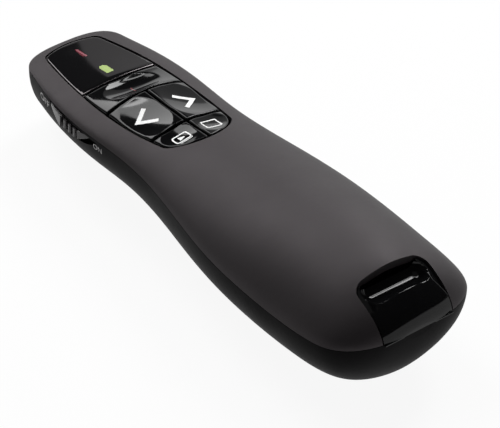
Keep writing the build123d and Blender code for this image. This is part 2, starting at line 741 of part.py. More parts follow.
def laser_glass():
    return along_y(0, LASER_HEIGHT, LASER_APERTURE - BEZEL_LIP, BARREL_FRONT, BARREL_FRONT + GLASS_THICK)


def bent_lead(points, radius, bends):
    """Insulated wire: straight runs joined by tangent arcs."""
    path = FilletPolyline(*points, radius=bends)
    start = Plane(path @ 0, z_dir=path % 0)
    return sweep(start * Circle(radius), path=path)


def laser_leads():
    y = BARREL_BACK + DIODE_DEPTH - DIODE_THICK
    leads = []
    for x in both_sides(LASER_LEAD_X):
        turn_y = y - LASER_LEAD_BACK
        route = [(x, y, LASER_HEIGHT), (x, turn_y, LASER_HEIGHT), (x, turn_y, BOARD_UNDER)]
        leads.append(bent_lead(route, LEAD_RADIUS - 0.1, 0.4 * (BOARD_UNDER - LASER_HEIGHT)))
    return Compound(children=leads)


def laser_clamp():
    """Saddle over the barrel, moulded as a separate clip that holds it down on the case."""
    y0, y1 = BARREL_BACK + CLAMP_FROM_BACK, BARREL_BACK + CLAMP_FROM_BACK + CLAMP_LONG
    clamp = block(-CLAMP_HALF, CLAMP_HALF, y0, y1, LASER_HEIGHT - CLAMP_LEGS, BOARD_UNDER)
    clamp -= along_y(0, LASER_HEIGHT, LASER_BARREL, y0 - 1, y1 + 1)
    return clamp - block(-LASER_BARREL, LASER_BARREL, y0 - 1, y1 + 1, 0, LASER_HEIGHT)


# ---------------------------------------------------------------- power switch
def knob_stem_place():
    y = from_nose((SWITCH_START + SWITCH_END) / 2) + STEM_FORWARD
    return y, BOARD_TOP + STEM_OVER_BOARD


def power_switch_knob():
    """Ribbed slider; its outline stays inside the lens of the recess at both ends of the travel."""
    y0, y1 = from_nose(SWITCH_END), from_nose(SWITCH_START)
    middle = (y0 + y1 + SWITCH_TRAVEL) / 2
    outline = switch_outline(KNOB_CLEAR, y0, y1)
    lens = Pos(-SWITCH_DEPTH - KNOB_CLEAR, 0, 0) * extrude(outline, KNOB_PROUD, dir=(-1, 0, 0))
    room = lens & (Pos(0, SWITCH_TRAVEL, 0) * lens)
    shape = block(-WIDTH, 0, middle - KNOB_LENGTH / 2, middle + KNOB_LENGTH / 2, 0, SKY)
    groove_floor = -SWITCH_DEPTH - KNOB_PROUD / 2
    for step in range(RIBS + 1):
        y = middle - RIB_SHIFT + RIB_PITCH * (step - RIBS / 2)
        shape -= block(-WIDTH, groove_floor, y - RIB_GROOVE / 2, y + RIB_GROOVE / 2, 0, SKY)
    knob = room & shape
    slot_y, slot_z = knob_stem_place()
    stem = block(-SWITCH_DEPTH - 0.4, -SWITCH_DEPTH + STEM_REACH,
                 slot_y - STEM_HALF, slot_y + STEM_HALF, slot_z - STEM_TALL, slot_z + STEM_TALL)
    return knob + stem


def switch_body_box():
    middle = knob_stem_place()[0] - SWITCH_TRAVEL / 2
    x0 = -BOARD_HALF + 0.3
    return x0, x0 + SWITCH_WIDE, middle - SWITCH_HALF, middle + SWITCH_HALF


def power_switch_body():
    x0, x1, y0, y1 = switch_body_box()
    slot_y, slot_z = knob_stem_place()
    body = block(x0, x1, y0, y1, BOARD_TOP, BOARD_TOP + TACT_BODY)
    return body - block(x0 - 1, x0 + LEVER_IN + FIT, slot_y - LEVER_HALF - SWITCH_TRAVEL - FIT,
                        slot_y + LEVER_HALF + FIT, slot_z - LEVER_TALL - FIT / 2, slot_z + LEVER_TALL + FIT / 2)


def power_switch_lever():
    """Nub of the switch, which the knob stem drags along."""
    x0 = switch_body_box()[0]
    slot_y, slot_z = knob_stem_place()
    return block(-SWITCH_DEPTH + STEM_REACH, x0 + LEVER_IN, slot_y - LEVER_HALF, slot_y + LEVER_HALF,
                 slot_z - LEVER_TALL, slot_z + LEVER_TALL)


# ---------------------------------------------------------------- batteries
CELL_TAIL = from_tail(CELL_START)
CELL_NOSE = CELL_TAIL + CELL_LENGTH
TRAY_TAIL = CELL_TAIL - PLATE
TRAY_NOSE = CELL_NOSE + SPRING_GAP + PLATE


def cell(x, positive_nose):
    """AAA cell; the sprung end keeps a gap for its coil."""
    y0 = CELL_TAIL + (SPRING_GAP if positive_nose else 0)
    y1 = y0 + CELL_LENGTH
    body0, body1 = (y0, y1 - CELL_NUB) if positive_nose else (y0 + CELL_NUB, y1)
    nub0, nub1 = (body1, y1) if positive_nose else (y0, body0)
    return along_y(x, CELL_HEIGHT, CELL_RADIUS, body0, body1) + along_y(x, CELL_HEIGHT, NUB_RADIUS, nub0, nub1)


def battery_spring(x, at_tail):
    """Conical contact coil, drawn as its closed rings pressed together."""
    y0, y1 = (CELL_TAIL, CELL_TAIL + SPRING_GAP) if at_tail else (CELL_NOSE, CELL_NOSE + SPRING_GAP)
    pitch = (y1 - y0) / SPRING_TURNS
    rings = []
    for turn in range(SPRING_TURNS):
        radius = SPRING_RADIUS + SPRING_FLARE * (SPRING_TURNS - 1 - turn if at_tail else turn)
        ring = along_y(x, CELL_HEIGHT, radius + SPRING_WIRE, y0 + pitch * turn, y0 + pitch * (turn + 1))
        rings.append(ring - along_y(x, CELL_HEIGHT, radius - SPRING_WIRE, y0 - 1, y1 + 1))
    return rings[0] + rings[1:]


def contact_plate(x0, x1, y0):
    return block(x0, x1, y0, y0 + PLATE, CELL_HEIGHT - PLATE_HALF, CELL_HEIGHT + PLATE_HALF)


def lead_height():
    """Height at which the leads leave their contact plates."""
    return BOARD_UNDER - LEAD_DROP


def battery_tray():
    """Open frame round the two cells, with a low rib between them."""
    half = CELL_SPREAD + CELL_RADIUS + FIT
    outer = block(-half - TRAY_WALL, half + TRAY_WALL, TRAY_TAIL - TRAY_WALL, TRAY_NOSE + TRAY_WALL,
                  TRAY_FLOOR, TRAY_TALL)
    outer -= block(-half, half, TRAY_TAIL, TRAY_NOSE, 0, SKY)
    for x in both_sides(LEAD_X):
        outer -= block(x - LEAD_SLOT, x + LEAD_SLOT, TRAY_NOSE - 1, TRAY_NOSE + TRAY_WALL + 1,
                       lead_height() - LEAD_SLOT, SKY)
    rib_half, rib_over = TRAY_RIB
    rib = block(-rib_half, rib_half, TRAY_TAIL + PLATE, TRAY_NOSE, CELL_HEIGHT + rib_over, TRAY_TALL)
    return (outer + rib) & LINED


def battery_leads():
    """Insulated leads from the two contact plates at the nose end up to the board."""
    pad_y = from_nose(BOARD_END) + LEAD_PAD
    leads = []
    for x in both_sides(LEAD_X):
        route = [(x, TRAY_NOSE, lead_height()), (x, pad_y, lead_height()), (x, pad_y, BOARD_UNDER)]
        leads.append(bent_lead(route, LEAD_RADIUS, LEAD_DROP * 2 / 3))
    return Compound(children=leads)


# ---------------------------------------------------------------- receiver
def receiver_cap():
    """Glossy end of the receiver: it carries on the skin of the case and has a finger scoop."""
    cap = notch_prism(CAP_HALF, NOTCH_START - CAP_GAP, 0) & skin(CAP_SKIN)
    cap &= stowed(block(-WIDTH, WIDTH, -PAST, CAP_FRONT, 0, SKY))
    y, z = from_tail(SCOOP_FROM_TAIL), SCOOP_HEIGHT
    cap -= Pos(0, y, z) * Rot(0, 90, 0) * Cylinder(SCOOP_RADIUS, 2 * (SCOOP_HALF - SCOOP_RADIUS))
    for x in both_sides(SCOOP_HALF - SCOOP_RADIUS):
        cap -= Pos(x, y, z) * Sphere(SCOOP_RADIUS)
    return cap


BASE_END = RECEIVER_LENGTH - PLUG_LENGTH


def receiver_base():
    """Housing behind the plug, hollow round the receiver board."""
    y0 = CAP_FRONT
    housing = receiver_block(0, y0, BASE_END)
    housing -= block(-RECEIVER_HALF + SHELL_WALL, RECEIVER_HALF - SHELL_WALL, y0 + SHELL_WALL,
                     BASE_END - SHELL_WALL, SHELL_WALL, RECEIVER_THICK - SHELL_WALL)
    housing -= plug_block(FIT / 2, BASE_END - SHELL_WALL - 1, BASE_END + 1)
    return stowed(housing)


def plug_block(grow, y0, y1):
    middle = RECEIVER_THICK / 2
    return block(-PLUG_HALF - grow, PLUG_HALF + grow, y0, y1,
                 middle - PLUG_THICK / 2 - grow, middle + PLUG_THICK / 2 + grow)


def plug_start():
    return BASE_END - SHELL_WALL - PLUG_ROOT


def usb_shell():
    """Folded steel shell with its two latch windows."""
    shell = plug_block(0, plug_start(), RECEIVER_LENGTH)
    shell -= plug_block(-PLUG_SHEET, plug_start() - 1, RECEIVER_LENGTH + 1)
    top = RECEIVER_THICK / 2 + PLUG_THICK / 2
    y0, y1 = (RECEIVER_LENGTH - distance for distance in LATCH_FROM_TIP)
    for x in both_sides(LATCH_X):
        shell -= block(x - LATCH_HALF, x + LATCH_HALF, y0, y1, top - 1, top + 1)
    return stowed(shell)


def tongue_top():
    return RECEIVER_THICK / 2


def usb_tongue():
    half = PLUG_HALF - PLUG_SHEET - TONGUE_CLEAR
    low = RECEIVER_THICK / 2 - PLUG_THICK / 2 + PLUG_SHEET
    tongue = block(-half, half, plug_start(), RECEIVER_LENGTH - TONGUE_SHORT, low, tongue_top())
    return stowed(tongue)


def usb_contacts():
    strips = []
    top = tongue_top() + CONTACT_THICK
    for x in CONTACT_X:
        tip = RECEIVER_LENGTH - (CONTACT_TIPS[0] if abs(x) == max(CONTACT_X) else CONTACT_TIPS[1])
        strip = block(x - CONTACT_HALF, x + CONTACT_HALF, plug_start() + 1, tip, tongue_top(), top)
        strips.append(stowed(strip))
    return Compound(children=strips)


def receiver_board():
    half = RECEIVER_BOARD_HALF
    board = block(-half, half, CAP_FRONT + 3, plug_start(), tongue_top() - RECEIVER_BOARD, tongue_top())
    return stowed(board)


def receiver_part(size, from_cap):
    """Package on the receiver board, at a distance from the end cap."""
    wide, long, tall = size
    y = CAP_FRONT + from_cap
    return stowed(block(-wide / 2, wide / 2, y, y + long, tongue_top(), tongue_top() + tall))


def receiver_bay():
    """Tray that the receiver slides into, between the cells and the top of the case."""
    half = NOTCH_HALF
    front = RECEIVER_LENGTH + FIT
    tray = block(-half - BAY_FLOOR, half + BAY_FLOOR, BAY_START, front + BAY_FLOOR,
                 -FIT - BAY_FLOOR, RECEIVER_THICK - BAY_LOWER)
    tray -= block(-half, half, -PAST, front, -FIT, SKY)
    tray = stowed(tray)
    out, ear_half, ear_long = BAY_EARS
    y = from_tail(BAY_EARS_FROM_TAIL)
    top = receiver_floor(y) - FIT
    for x in both_sides(half + out):
        tray += block(x - ear_half, x + ear_half, y - ear_long, y + ear_long, top - BAY_FLOOR, top)
    return tray & LINED


# ---------------------------------------------------------------- screws
def screw(x, y, z_head, length, direction, head_tall):
    """Pan screw with a cross recess; direction is the way its point goes."""
    z_tip, z_face = z_head + direction * length, z_head - direction * head_tall
    body = upright(x, y, SCREW_CORE, min(z_head, z_tip), max(z_head, z_tip))
    head = upright(x, y, SCREW_HEAD, min(z_head, z_face), max(z_head, z_face))
    z0, z1 = z_face - CROSS_DEEP, z_face + CROSS_DEEP
    cross = block(x - CROSS_REACH, x + CROSS_REACH, y - CROSS_HALF, y + CROSS_HALF, z0, z1)
    cross += block(x - CROSS_HALF, x + CROSS_HALF, y - CROSS_REACH, y + CROSS_REACH, z0, z1)
    return body + head - cross


def case_screws():
    screws = []
    for x, y in post_places():
        seat = skin_under(x, y) + SCREW_SUNK
        screws.append(screw(x, y, seat, BOARD_TOP + CASE_SCREW_BITE - seat, 1, CASE_SCREW_HEAD))
    return Compound(children=screws)


def board_screws():
    y = from_nose(BOARD_SCREW_FROM_NOSE)
    screws = []
    for x in both_sides(BOARD_SCREW_X):
        screws.append(screw(x, y, BOARD_TOP, BOARD_SCREW_LONG, -1, BOARD_SCREW_HEAD))
    return Compound(children=screws)


# ---------------------------------------------------------------- all nodes
def build():
    nodes = {
        "top_case": top_case(), "bottom_case": bottom_case(), "battery_door": battery_door(),
        "status_window": status_window(),
    }
    for name, (y0, y1, x0, x1, height) in key_spans().items():
        nodes[name] = key(y0, y1, x0, x1, height, INNER)
        nodes[name.replace("button", "plunger")] = plunger(name)
    inner_edge, outer_edge = CELL_SPREAD - PLATE_HALF, CELL_SPREAD + PLATE_HALF
    nodes.update({
        "main_board": main_board(), "tact_switches": tact_switches(),
        "controller_chip": chip(3.5, from_nose(33.5), 6, 6, 1.0),
        "radio_chip": chip(4.5, from_nose(43.0), 4, 4, 0.9),
        "clock_crystal": chip(-3.0, from_nose(42.0), 3.2, 2.5, 0.8),
        "board_passives": passives(), "strip_antenna": antenna(),
        "battery_lamp": lamp(BATTERY_LAMP_FROM_NOSE), "laser_lamp": lamp(LASER_LAMP_FROM_NOSE),
        "battery_light_guide": light_guide(BATTERY_LAMP_FROM_NOSE, 1.3, 2.1),
        "laser_light_guide": light_guide(LASER_LAMP_FROM_NOSE, 0.7, 1.6),
        "laser_barrel": laser_barrel(), "laser_diode": laser_diode(), "laser_lens": laser_lens(),
        "laser_bezel": laser_bezel(), "laser_glass": laser_glass(), "laser_leads": laser_leads(),
        "laser_clamp": laser_clamp(),
        "power_switch_knob": power_switch_knob(), "power_switch_body": power_switch_body(),
        "power_switch_lever": power_switch_lever(),
        "battery_tray": battery_tray(), "battery_leads": battery_leads(),
        "cell_left": cell(-CELL_SPREAD, True), "cell_right": cell(CELL_SPREAD, False),
        "spring_left": battery_spring(-CELL_SPREAD, True), "spring_right": battery_spring(CELL_SPREAD, False),
        "bridge_plate": contact_plate(-outer_edge, outer_edge, TRAY_TAIL) & LINED,
        "positive_plate": contact_plate(-outer_edge, -inner_edge, CELL_NOSE + SPRING_GAP),
        "negative_plate": contact_plate(inner_edge, outer_edge, CELL_NOSE + SPRING_GAP),
        "receiver_cap": receiver_cap(), "receiver_base": receiver_base(), "usb_shell": usb_shell(),
        "usb_tongue": usb_tongue(), "usb_contacts": usb_contacts(), "receiver_board": receiver_board(),
        "receiver_chip": receiver_part(RECEIVER_CHIP, 14),
        "receiver_crystal": receiver_part(RECEIVER_CRYSTAL, 8.5),
        "receiver_bay": receiver_bay(), "case_screws": case_screws(), "board_screws": board_screws(),
    })
    return nodes


os.makedirs("parts", exist_ok=True)
for name, piece in build().items():
    export_step(piece, f"parts/{name}.step")
    print(name, round(piece.volume, 1))
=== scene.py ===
"""Finishes and detail pieces of a wireless presentation clicker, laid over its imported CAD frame."""

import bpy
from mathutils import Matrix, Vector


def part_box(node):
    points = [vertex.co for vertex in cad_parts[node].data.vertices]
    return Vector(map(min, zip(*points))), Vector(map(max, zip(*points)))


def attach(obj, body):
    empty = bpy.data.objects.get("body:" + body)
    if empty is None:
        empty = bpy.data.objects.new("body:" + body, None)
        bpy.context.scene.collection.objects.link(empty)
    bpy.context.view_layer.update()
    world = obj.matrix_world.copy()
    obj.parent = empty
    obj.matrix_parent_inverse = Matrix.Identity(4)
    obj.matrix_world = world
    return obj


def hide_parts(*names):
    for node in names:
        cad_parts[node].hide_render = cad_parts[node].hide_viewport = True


bl_info = {
    "name": "Presentation Clicker",
    "version": (1, 0, 0),
    "blender": (4, 5, 0),
    "location": "View3D > Sidebar > Clicker",
    "description": "Keys, window, receiver, marks and finishes of a wireless presentation clicker",
    "category": "Object",
}

from math import cos, pi, radians, sin, sqrt

import bmesh
import bpy
import numpy as np
from bpy.props import FloatProperty, FloatVectorProperty, IntProperty, PointerProperty
from mathutils import Matrix, Vector
from mathutils.geometry import delaunay_2d_cdt

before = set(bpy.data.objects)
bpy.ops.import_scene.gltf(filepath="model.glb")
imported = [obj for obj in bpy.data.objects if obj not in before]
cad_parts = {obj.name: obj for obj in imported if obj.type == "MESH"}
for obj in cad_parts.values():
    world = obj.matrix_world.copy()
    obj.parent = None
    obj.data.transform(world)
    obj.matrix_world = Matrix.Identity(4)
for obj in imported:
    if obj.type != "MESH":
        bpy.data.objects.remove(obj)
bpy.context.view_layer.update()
MM = 0.001
WELD = 1e-8

# ---------------------------------------------------------------- driving sizes of the case, in mm
LENGTH = 115.5
WIDTH = 37.8
HEIGHT = 27.4
WAIST_WIDTH = 28.8
NOSE_WIDTH = 20.4
NOSE, TAIL, HIP, WAIST = LENGTH / 2, -LENGTH / 2, WIDTH / 2, WAIST_WIDTH / 2
GIRTH_HEIGHT = 16.1

# Rounding of the case ends: (reach along Y, squareness)
PLAN_NOSE, PLAN_TAIL = (5.0, 2.8), (11.6, 2.8)
CROWN_NOSE, CROWN_TAIL = (4.2, 1.9), (14.0, 2.0)
BELLY_NOSE, BELLY_TAIL = (5.0, 2.2), (11.6, 2.2)
CROWN_SHAPE, BELLY_SHAPE = (1.85, 0.7), (1.8, 0.45)
END_FLAT = 0.04

# Control opening, distances from the nose and half widths there
OPENING_START, OPENING_CORNER, WINDOW_END, LASER_KEY_END = 1.45, 2.9, 20.35, 29.15
ARROW_KEYS_END, OPENING_SIDE_END, OPENING_END = 43.05, 47.0, 51.2
OPENING_HALF = {"corner": 6.9, "window": 9.65, "laser": 10.0, "arrows": 9.1, "side": 8.5}
CORNER_RADIUS, CORNER_REACH = 2.2, 0.6
KEY_GAP, KEY_SPLIT, WINDOW_GAP = 0.45, 0.5, 0.3
WINDOW_SLOPE, WINDOW_BOW, WINDOW_CROWN = 0.105, 0.6, 0.26
WINDOW_ROLL, WINDOW_ROLL_REACH = 0.25, 1.1
ARROW_RISE = 1.0

# Thumb dishes, (middle in X, middle in Y), (reach in X, reach in Y); those of the key pairs are mirrored
DISH_POWER, SMALL_DISH_DEPTH = 1.05, 0.6
LASER_DISH = (0, NOSE - (WINDOW_END + LASER_KEY_END) / 2 + 0.1), (6.7, 4.3)
ARROW_DISH = (5.1, NOSE - (LASER_KEY_END + ARROW_KEYS_END) / 2 - 0.1), (4.8, 6.9)
SMALL_DISH = (4.2, NOSE - (ARROW_KEYS_END + 3.4)), (4.1, 3.5)

# Marks: places are (x, distance from the nose), printed screens are (left, right, low, high)
INK_LIFT, INK_SINK, BATTERY_LIFT, LASER_LIFT, GLOW_LIFT = 0.02, 0.05, 0.015, 0.03, 0.012
CELL_MARK, NUB_MARK, NUB_TALL, CELL_START, CELL_END = 0.88, 0.55, 0.4, 14.2, 17.2
LASER_MARK, LASER_MARK_WIDE = ((0.1, 8.55), (-0.05, 4.95)), 0.42
LASER_KEY_MARK, LASER_KEY_MARK_WIDE = ((-0.05, 25.9), (0.1, 24.0)), 0.3
LASER_GLOW, GLOW_CORNER = ((-0.75, 0.5), (0.25, -0.1), (0.45, -0.2), (-0.3, 0.3)), 0.4
ARROW_TIP, ARROW_REACH, ARROW_HALF, ARROW_MIDDLE = 6.9, 3.6, 2.5, 36.0
PLAY_SCREEN, PLAY_CORNER = (-5.75, -2.3, NOSE - 47.85, NOSE - 45.65), 0.6
BLANK_SCREEN, BLANK_CORNER = (1.75, 5.35, NOSE - 47.9, NOSE - 45.3), 0.35
PLAY_HALF, PLAY_BACK, PLAY_FRONT = 0.62, 1.1, 0.8
PLAY_EDGE, PLAY_EDGE_THIN = ((0.35, -0.42), (-0.25, -0.42), (-0.02, -0.2)), 0.6

# Stowed receiver
CAP_HALF, CAP_CORNER, CAP_SUNK, CAP_CROWD, CAP_STEPS = 8.35, 2.2, 0.04, 1.6, (120, 130)
SCOOP_RADIUS, SCOOP_FLAT, SCOOP_HALF, SCOOP_FROM_TAIL, SCOOP_HEIGHT = 3.0, 5.0, 7.5, 8.05, 25.2
SCOOP_CLIMB, LIP_ROUND, PLATE_HALF, PLATE_SPREAD = 3, 2.0, 6.7, 0.55
SHOULDER_DROP, SHOULDER_WIDE = 0.5, 0.9

# Power slider: the lens of its recess, from the nose, and the plane of its floor
SWITCH_START, SWITCH_END, SWITCH_DEPTH = 14.6, 32.7, 13.2
SWITCH_TOP, SWITCH_TALL, SWITCH_TRAVEL, KNOB_CLEAR = 0.5, 3.3, 2.2, 0.12
KNOB_FOOT = SWITCH_DEPTH + KNOB_CLEAR
KNOB_LENGTH, KNOB_PROUD, KNOB_MARGIN, KNOB_TIP, KNOB_TRIM = 14.2, 1.9, 0.08, 0.2, 0.1
KNOB_EDGE, KNOB_SPACING, RAMP_LOW, RAMP_POWER, BED_STEP, BED_LEVEL = 0.12, 0.16, 0.3, 0.8, 0.12, 0.35
RIB_PITCH, RIB_SHIFT, RIB_THICK, RIB_CORNER = 1.65, 1.0, 0.8, 0.3
RIB_DROP, RIB_SHORT, RIB_DEEP = 0.3, 1.0, 0.95
STEM_HALF, STEM_CORNER, STEM_OVERLAP, STEM_SPACING = (1.1, 0.5), 0.2, 0.1, 0.5

# Words in the wall: text, distance from the nose, width, height of the middle; print over and under the wall
SWITCH_WORDS = (("OFF", 10.3, 4.2, 13.8), ("ON", 31.4, 2.7, 14.6))
WORD_PROUD, WORD_SUNK = 0.05, 0.08


def from_nose(distance):
    return NOSE - distance


def from_tail(distance):
    return TAIL + distance


# ---------------------------------------------------------------- laws of the case shape
class Law:
    """A natural cubic through (place, value) stations, evaluated on numbers or arrays."""

    def __init__(self, *stations):
        self.places, self.values = np.array(sorted(stations)).T
        self.steps = np.diff(self.places)
        slopes = np.diff(self.values) / self.steps
        count = len(self.places)
        system, right = np.eye(count), np.zeros(count)
        for i in range(1, count - 1):
            before, after = self.steps[i - 1], self.steps[i]
            system[i, i - 1 : i + 2] = before, 2 * (before + after), after
            right[i] = 6 * (slopes[i] - slopes[i - 1])
        self.bend = np.linalg.solve(system, right)

    def __call__(self, place):
        i = np.clip(np.searchsorted(self.places, place) - 1, 0, len(self.steps) - 1)
        step = self.steps[i]
        after, before = place - self.places[i], self.places[i + 1] - place
        cubic = (self.bend[i] * before**3 + self.bend[i + 1] * after**3) / (6 * step)
        start = self.values[i] / step - self.bend[i] * step / 6
        finish = self.values[i + 1] / step - self.bend[i + 1] * step / 6
        return cubic + start * before + finish * after


def aft(level, *stations):
    """Stations of a law from (distance from the tail, rise over a level)."""
    return [(from_tail(distance), level + rise) for distance, rise in stations]


def fore(level, *stations):
    """Stations of a law from (distance from the nose, rise over a level)."""
    return [(from_nose(distance), level + rise) for distance, rise in stations]


side_width = Law(
    *aft(HIP, (0, -2.1), (15.75, -0.5), (29.75, 0), (42.75, -0.5)),
    *fore(WAIST, (57.75, 1.7), (47.75, 0.3), (37.75, 0), (25.75, 0.4), (12.75, -1.0)),
    *fore(NOSE_WIDTH / 2, (0, 0)),
)
crest = Law(
    *aft(HEIGHT, (0, -1.4), (9.75, -0.5), (19.75, 0), (30.75, -0.6), (42.75, -2.0), (54.75, -3.4)),
    *fore(HEIGHT, (49.75, -4.7), (39.75, -6.0), (29.75, -7.3), (20.75, -8.2), (11.75, -9.4), (0, -11.4)),
)
girth = Law(
    *aft(GIRTH_HEIGHT, (0, 1.9), (7.75, 0.9), (15.75, 0.2), (27.75, 0), (42.75, 0.4), (57.75, 1.0)),
    *fore(GIRTH_HEIGHT, (42.75, 0.8), (27.75, 0.2), (17.75, -0.1), (7.75, -0.4), (0, -0.5)),
)
keel = Law(
    *aft(0, (0, 2.6), (11.75, 0.9), (21.75, -0.4), (33.75, -0.5), (47.75, -0.45), (59.75, 0.1)),
    *fore(0, (43.75, 1.7), (32.75, 1.9), (19.75, 1.5), (0, 0.5)),
)
# The lines where the half widths of the opening hold, in the order of OPENING_HALF
OPENING_ENDS = (OPENING_CORNER, WINDOW_END, LASER_KEY_END, ARROW_KEYS_END, OPENING_SIDE_END)
opening_half = Law(*fore(0, *zip(OPENING_ENDS, OPENING_HALF.values())))


def end_round(distance, rounding):
    """Share of the full size that is left at a distance from a rounded end."""
    reach, squareness = rounding
    share = np.clip((distance + END_FLAT) / reach, 0, 1)
    return (1 - (1 - share) ** squareness) ** (1 / squareness)


def ends(y, nose_rounding, tail_rounding):
    return end_round(NOSE - y, nose_rounding) * end_round(y - TAIL, tail_rounding)


def half_width(y):
    return side_width(y) * ends(y, PLAN_NOSE, PLAN_TAIL)


def skin_top(x, y):
    """Height of the case top above a point of the plan."""
    share = np.clip(np.abs(x) / half_width(y), 0, 1)
    crown = (crest(y) - girth(y)) * ends(y, CROWN_NOSE, CROWN_TAIL)
    return girth(y) + crown * (1 - share ** CROWN_SHAPE[0]) ** CROWN_SHAPE[1]


def wall_reach(y, z):
    """Half width of the lower case at a height under its widest line."""
    belly = (girth(y) - keel(y)) * ends(y, BELLY_NOSE, BELLY_TAIL)
    depth = np.clip((girth(y) - z) / belly, 0, 1)
    return half_width(y) * (1 - depth ** (1 / BELLY_SHAPE[1])) ** (1 / BELLY_SHAPE[0])


def window_level():
    return skin_top(OPENING_HALF["window"], from_nose(WINDOW_END))


def window_top(x, y):
    """Nearly flat window, bowed a little along its lower edge."""
    forward = y - from_nose(WINDOW_END)
    bow = np.clip(1 - forward / (WINDOW_END - OPENING_CORNER), 0, None) ** 2
    across = (x / OPENING_HALF["window"]) ** 2
    level = window_level() - WINDOW_SLOPE * forward
    return level + WINDOW_BOW * bow * (1 - across) + WINDOW_CROWN * (0.5 - across)


def window_skin(x, y):
    """Window with the rolled edge that faces the laser key."""
    forward = y - from_nose(WINDOW_END) - KEY_SPLIT / 2
    return window_top(x, y) - WINDOW_ROLL * np.clip(1 - forward / WINDOW_ROLL_REACH, 0, 1) ** 2


def laser_key_top(x, y):
    """Dips between the window edge and the raised arrow keys."""
    back = (from_nose(WINDOW_END) - y) / (LASER_KEY_END - WINDOW_END)
    across = 1 - (x / OPENING_HALF["laser"]) ** 2
    edge = from_nose(WINDOW_END)
    step = window_top(x, edge) - skin_top(x, edge)
    return skin_top(x, y) + step * (1 - back) + ARROW_RISE * across * back**2


def arrow_key_top(x, y):
    back = np.clip((y - from_nose(ARROW_KEYS_END)) / (ARROW_KEYS_END - LASER_KEY_END), 0, None)
    return skin_top(x, y) + ARROW_RISE * back * (1 - (x / OPENING_HALF["laser"]) ** 2)


# ---------------------------------------------------------------- outlines in the plan
SHARP_TURN, MITRE_LIMIT, CORNER_SHARE, BATCH = 0.85, 0.5, 0.45, 2000
SIDE_STEPS, ARC_STEPS, CURVE_STEPS = 90, 60, 12


def unit(rows):
    """Rows scaled to a length of 1."""
    return rows / np.linalg.norm(rows, axis=1)[:, None]


def leftward(rows):
    """Rows turned a quarter to the left."""
    return np.c_[-rows[:, 1], rows[:, 0]]


def rectangle(left, right, low, high):
    """Corners of a rectangle, anticlockwise from the lower left."""
    return [(left, low), (right, low), (right, high), (left, high)]


def bezier(start, control, finish, steps):
    t = np.linspace(0, 1, steps)[:, None]
    return (1 - t) ** 2 * np.array(start) + 2 * t * (1 - t) * np.array(control) + t**2 * np.array(finish)


def resampled(loop, spacing):
    """The same closed outline with its points at an even spacing."""
    closed = np.vstack([loop, loop[:1]])
    travelled = np.r_[0, np.cumsum(np.linalg.norm(np.diff(closed, axis=0), axis=1))]
    count = max(int(round(travelled[-1] / spacing)), 8)
    wanted = np.linspace(0, travelled[-1], count, endpoint=False)
    return np.c_[np.interp(wanted, travelled, closed[:, 0]), np.interp(wanted, travelled, closed[:, 1])]


def rounded(corners, radius, steps=9):
    """Closed outline through sharp corners, each replaced by a short curve."""
    corners = np.array(corners, float)
    points = []
    for i, corner in enumerate(corners):
        before, after = corners[i - 1] - corner, corners[(i + 1) % len(corners)] - corner
        reach = min(radius, CORNER_SHARE * np.linalg.norm(before), CORNER_SHARE * np.linalg.norm(after))
        first = corner + before / np.linalg.norm(before) * reach
        last = corner + after / np.linalg.norm(after) * reach
        points.extend(bezier(first, corner, last, steps))
    return np.array(points)


def arc_through(first, middle_y):
    """Points of the arc from a corner over the centre line to the mirrored corner."""
    half, y = first
    rise = middle_y - y
    radius = (half**2 + rise**2) / (2 * rise)
    centre = middle_y - radius
    start = np.arctan2(half, (y - centre) * np.sign(radius))
    angles = np.linspace(start, -start, ARC_STEPS)
    return np.c_[abs(radius) * np.sin(angles), centre + radius * np.cos(angles)]


def opening_outline(grow):
    """Outline of the control opening with its four rounded corners, anticlockwise."""
    top, low = from_nose(OPENING_CORNER) + grow, from_nose(OPENING_SIDE_END) - grow
    reach = CORNER_REACH * (CORNER_RADIUS + grow)
    side_y = np.linspace(low, top, SIDE_STEPS)
    right = np.c_[opening_half(side_y) + grow, side_y]
    over = arc_through((opening_half(top) + grow, top), from_nose(OPENING_START) + grow)
    under = arc_through((opening_half(low) + grow, low), from_nose(OPENING_END) - grow)[::-1]
    runs = [right, over, right[::-1] * (-1, 1), under]
    points = []
    for i, run in enumerate(runs):
        # Each run gives up the stretch that the corner curve before and after it takes.
        follow = runs[(i + 1) % 4]
        kept = run[np.linalg.norm(run - run[0], axis=1) > reach]
        kept = kept[np.linalg.norm(kept - run[-1], axis=1) > reach]
        next_kept = follow[np.linalg.norm(follow - follow[0], axis=1) > reach]
        points.extend(kept)
        points.extend(bezier(kept[-1], run[-1], next_kept[0], CURVE_STEPS)[1:-1])
    return np.array(points)


def clipped(loop, axis, limit, keep_above):
    """Part of a convex outline on one side of a line along X or Y."""
    points = []
    sign = 1 if keep_above else -1
    for i, point in enumerate(loop):
        follow = loop[(i + 1) % len(loop)]
        a, b = sign * (point[axis] - limit), sign * (follow[axis] - limit)
        if a >= 0:
            points.append(point)
        if a * b < 0:
            points.append(point + (follow - point) * a / (a - b))
    return np.array(points)


def softened(loop, radius):
    """Rounds the corners that clipping leaves: drops the stretch round each sharp turn for a curve."""
    heading = unit(np.roll(loop, -1, axis=0) - loop)
    sharp = [i for i in range(len(loop)) if np.dot(heading[i], heading[i - 1]) < SHARP_TURN]
    points = []
    for i, point in enumerate(loop):
        if i in sharp:
            before, after = point - heading[i - 1] * radius, point + heading[i] * radius
            points.extend(bezier(before, point, after, 7))
        elif all(np.linalg.norm(point - loop[j]) > radius for j in sharp):
            points.append(point)
    return np.array(points)


def inset(loop, distance):
    """The anticlockwise outline moved inwards, with mitred corners."""
    after = unit(np.roll(loop, -1, axis=0) - loop)
    inward = unit(leftward(np.roll(after, 1, axis=0) + after))
    across = np.abs((inward * leftward(after)).sum(1))
    return loop + inward * (distance / np.clip(across, MITRE_LIMIT, 1))[:, None]


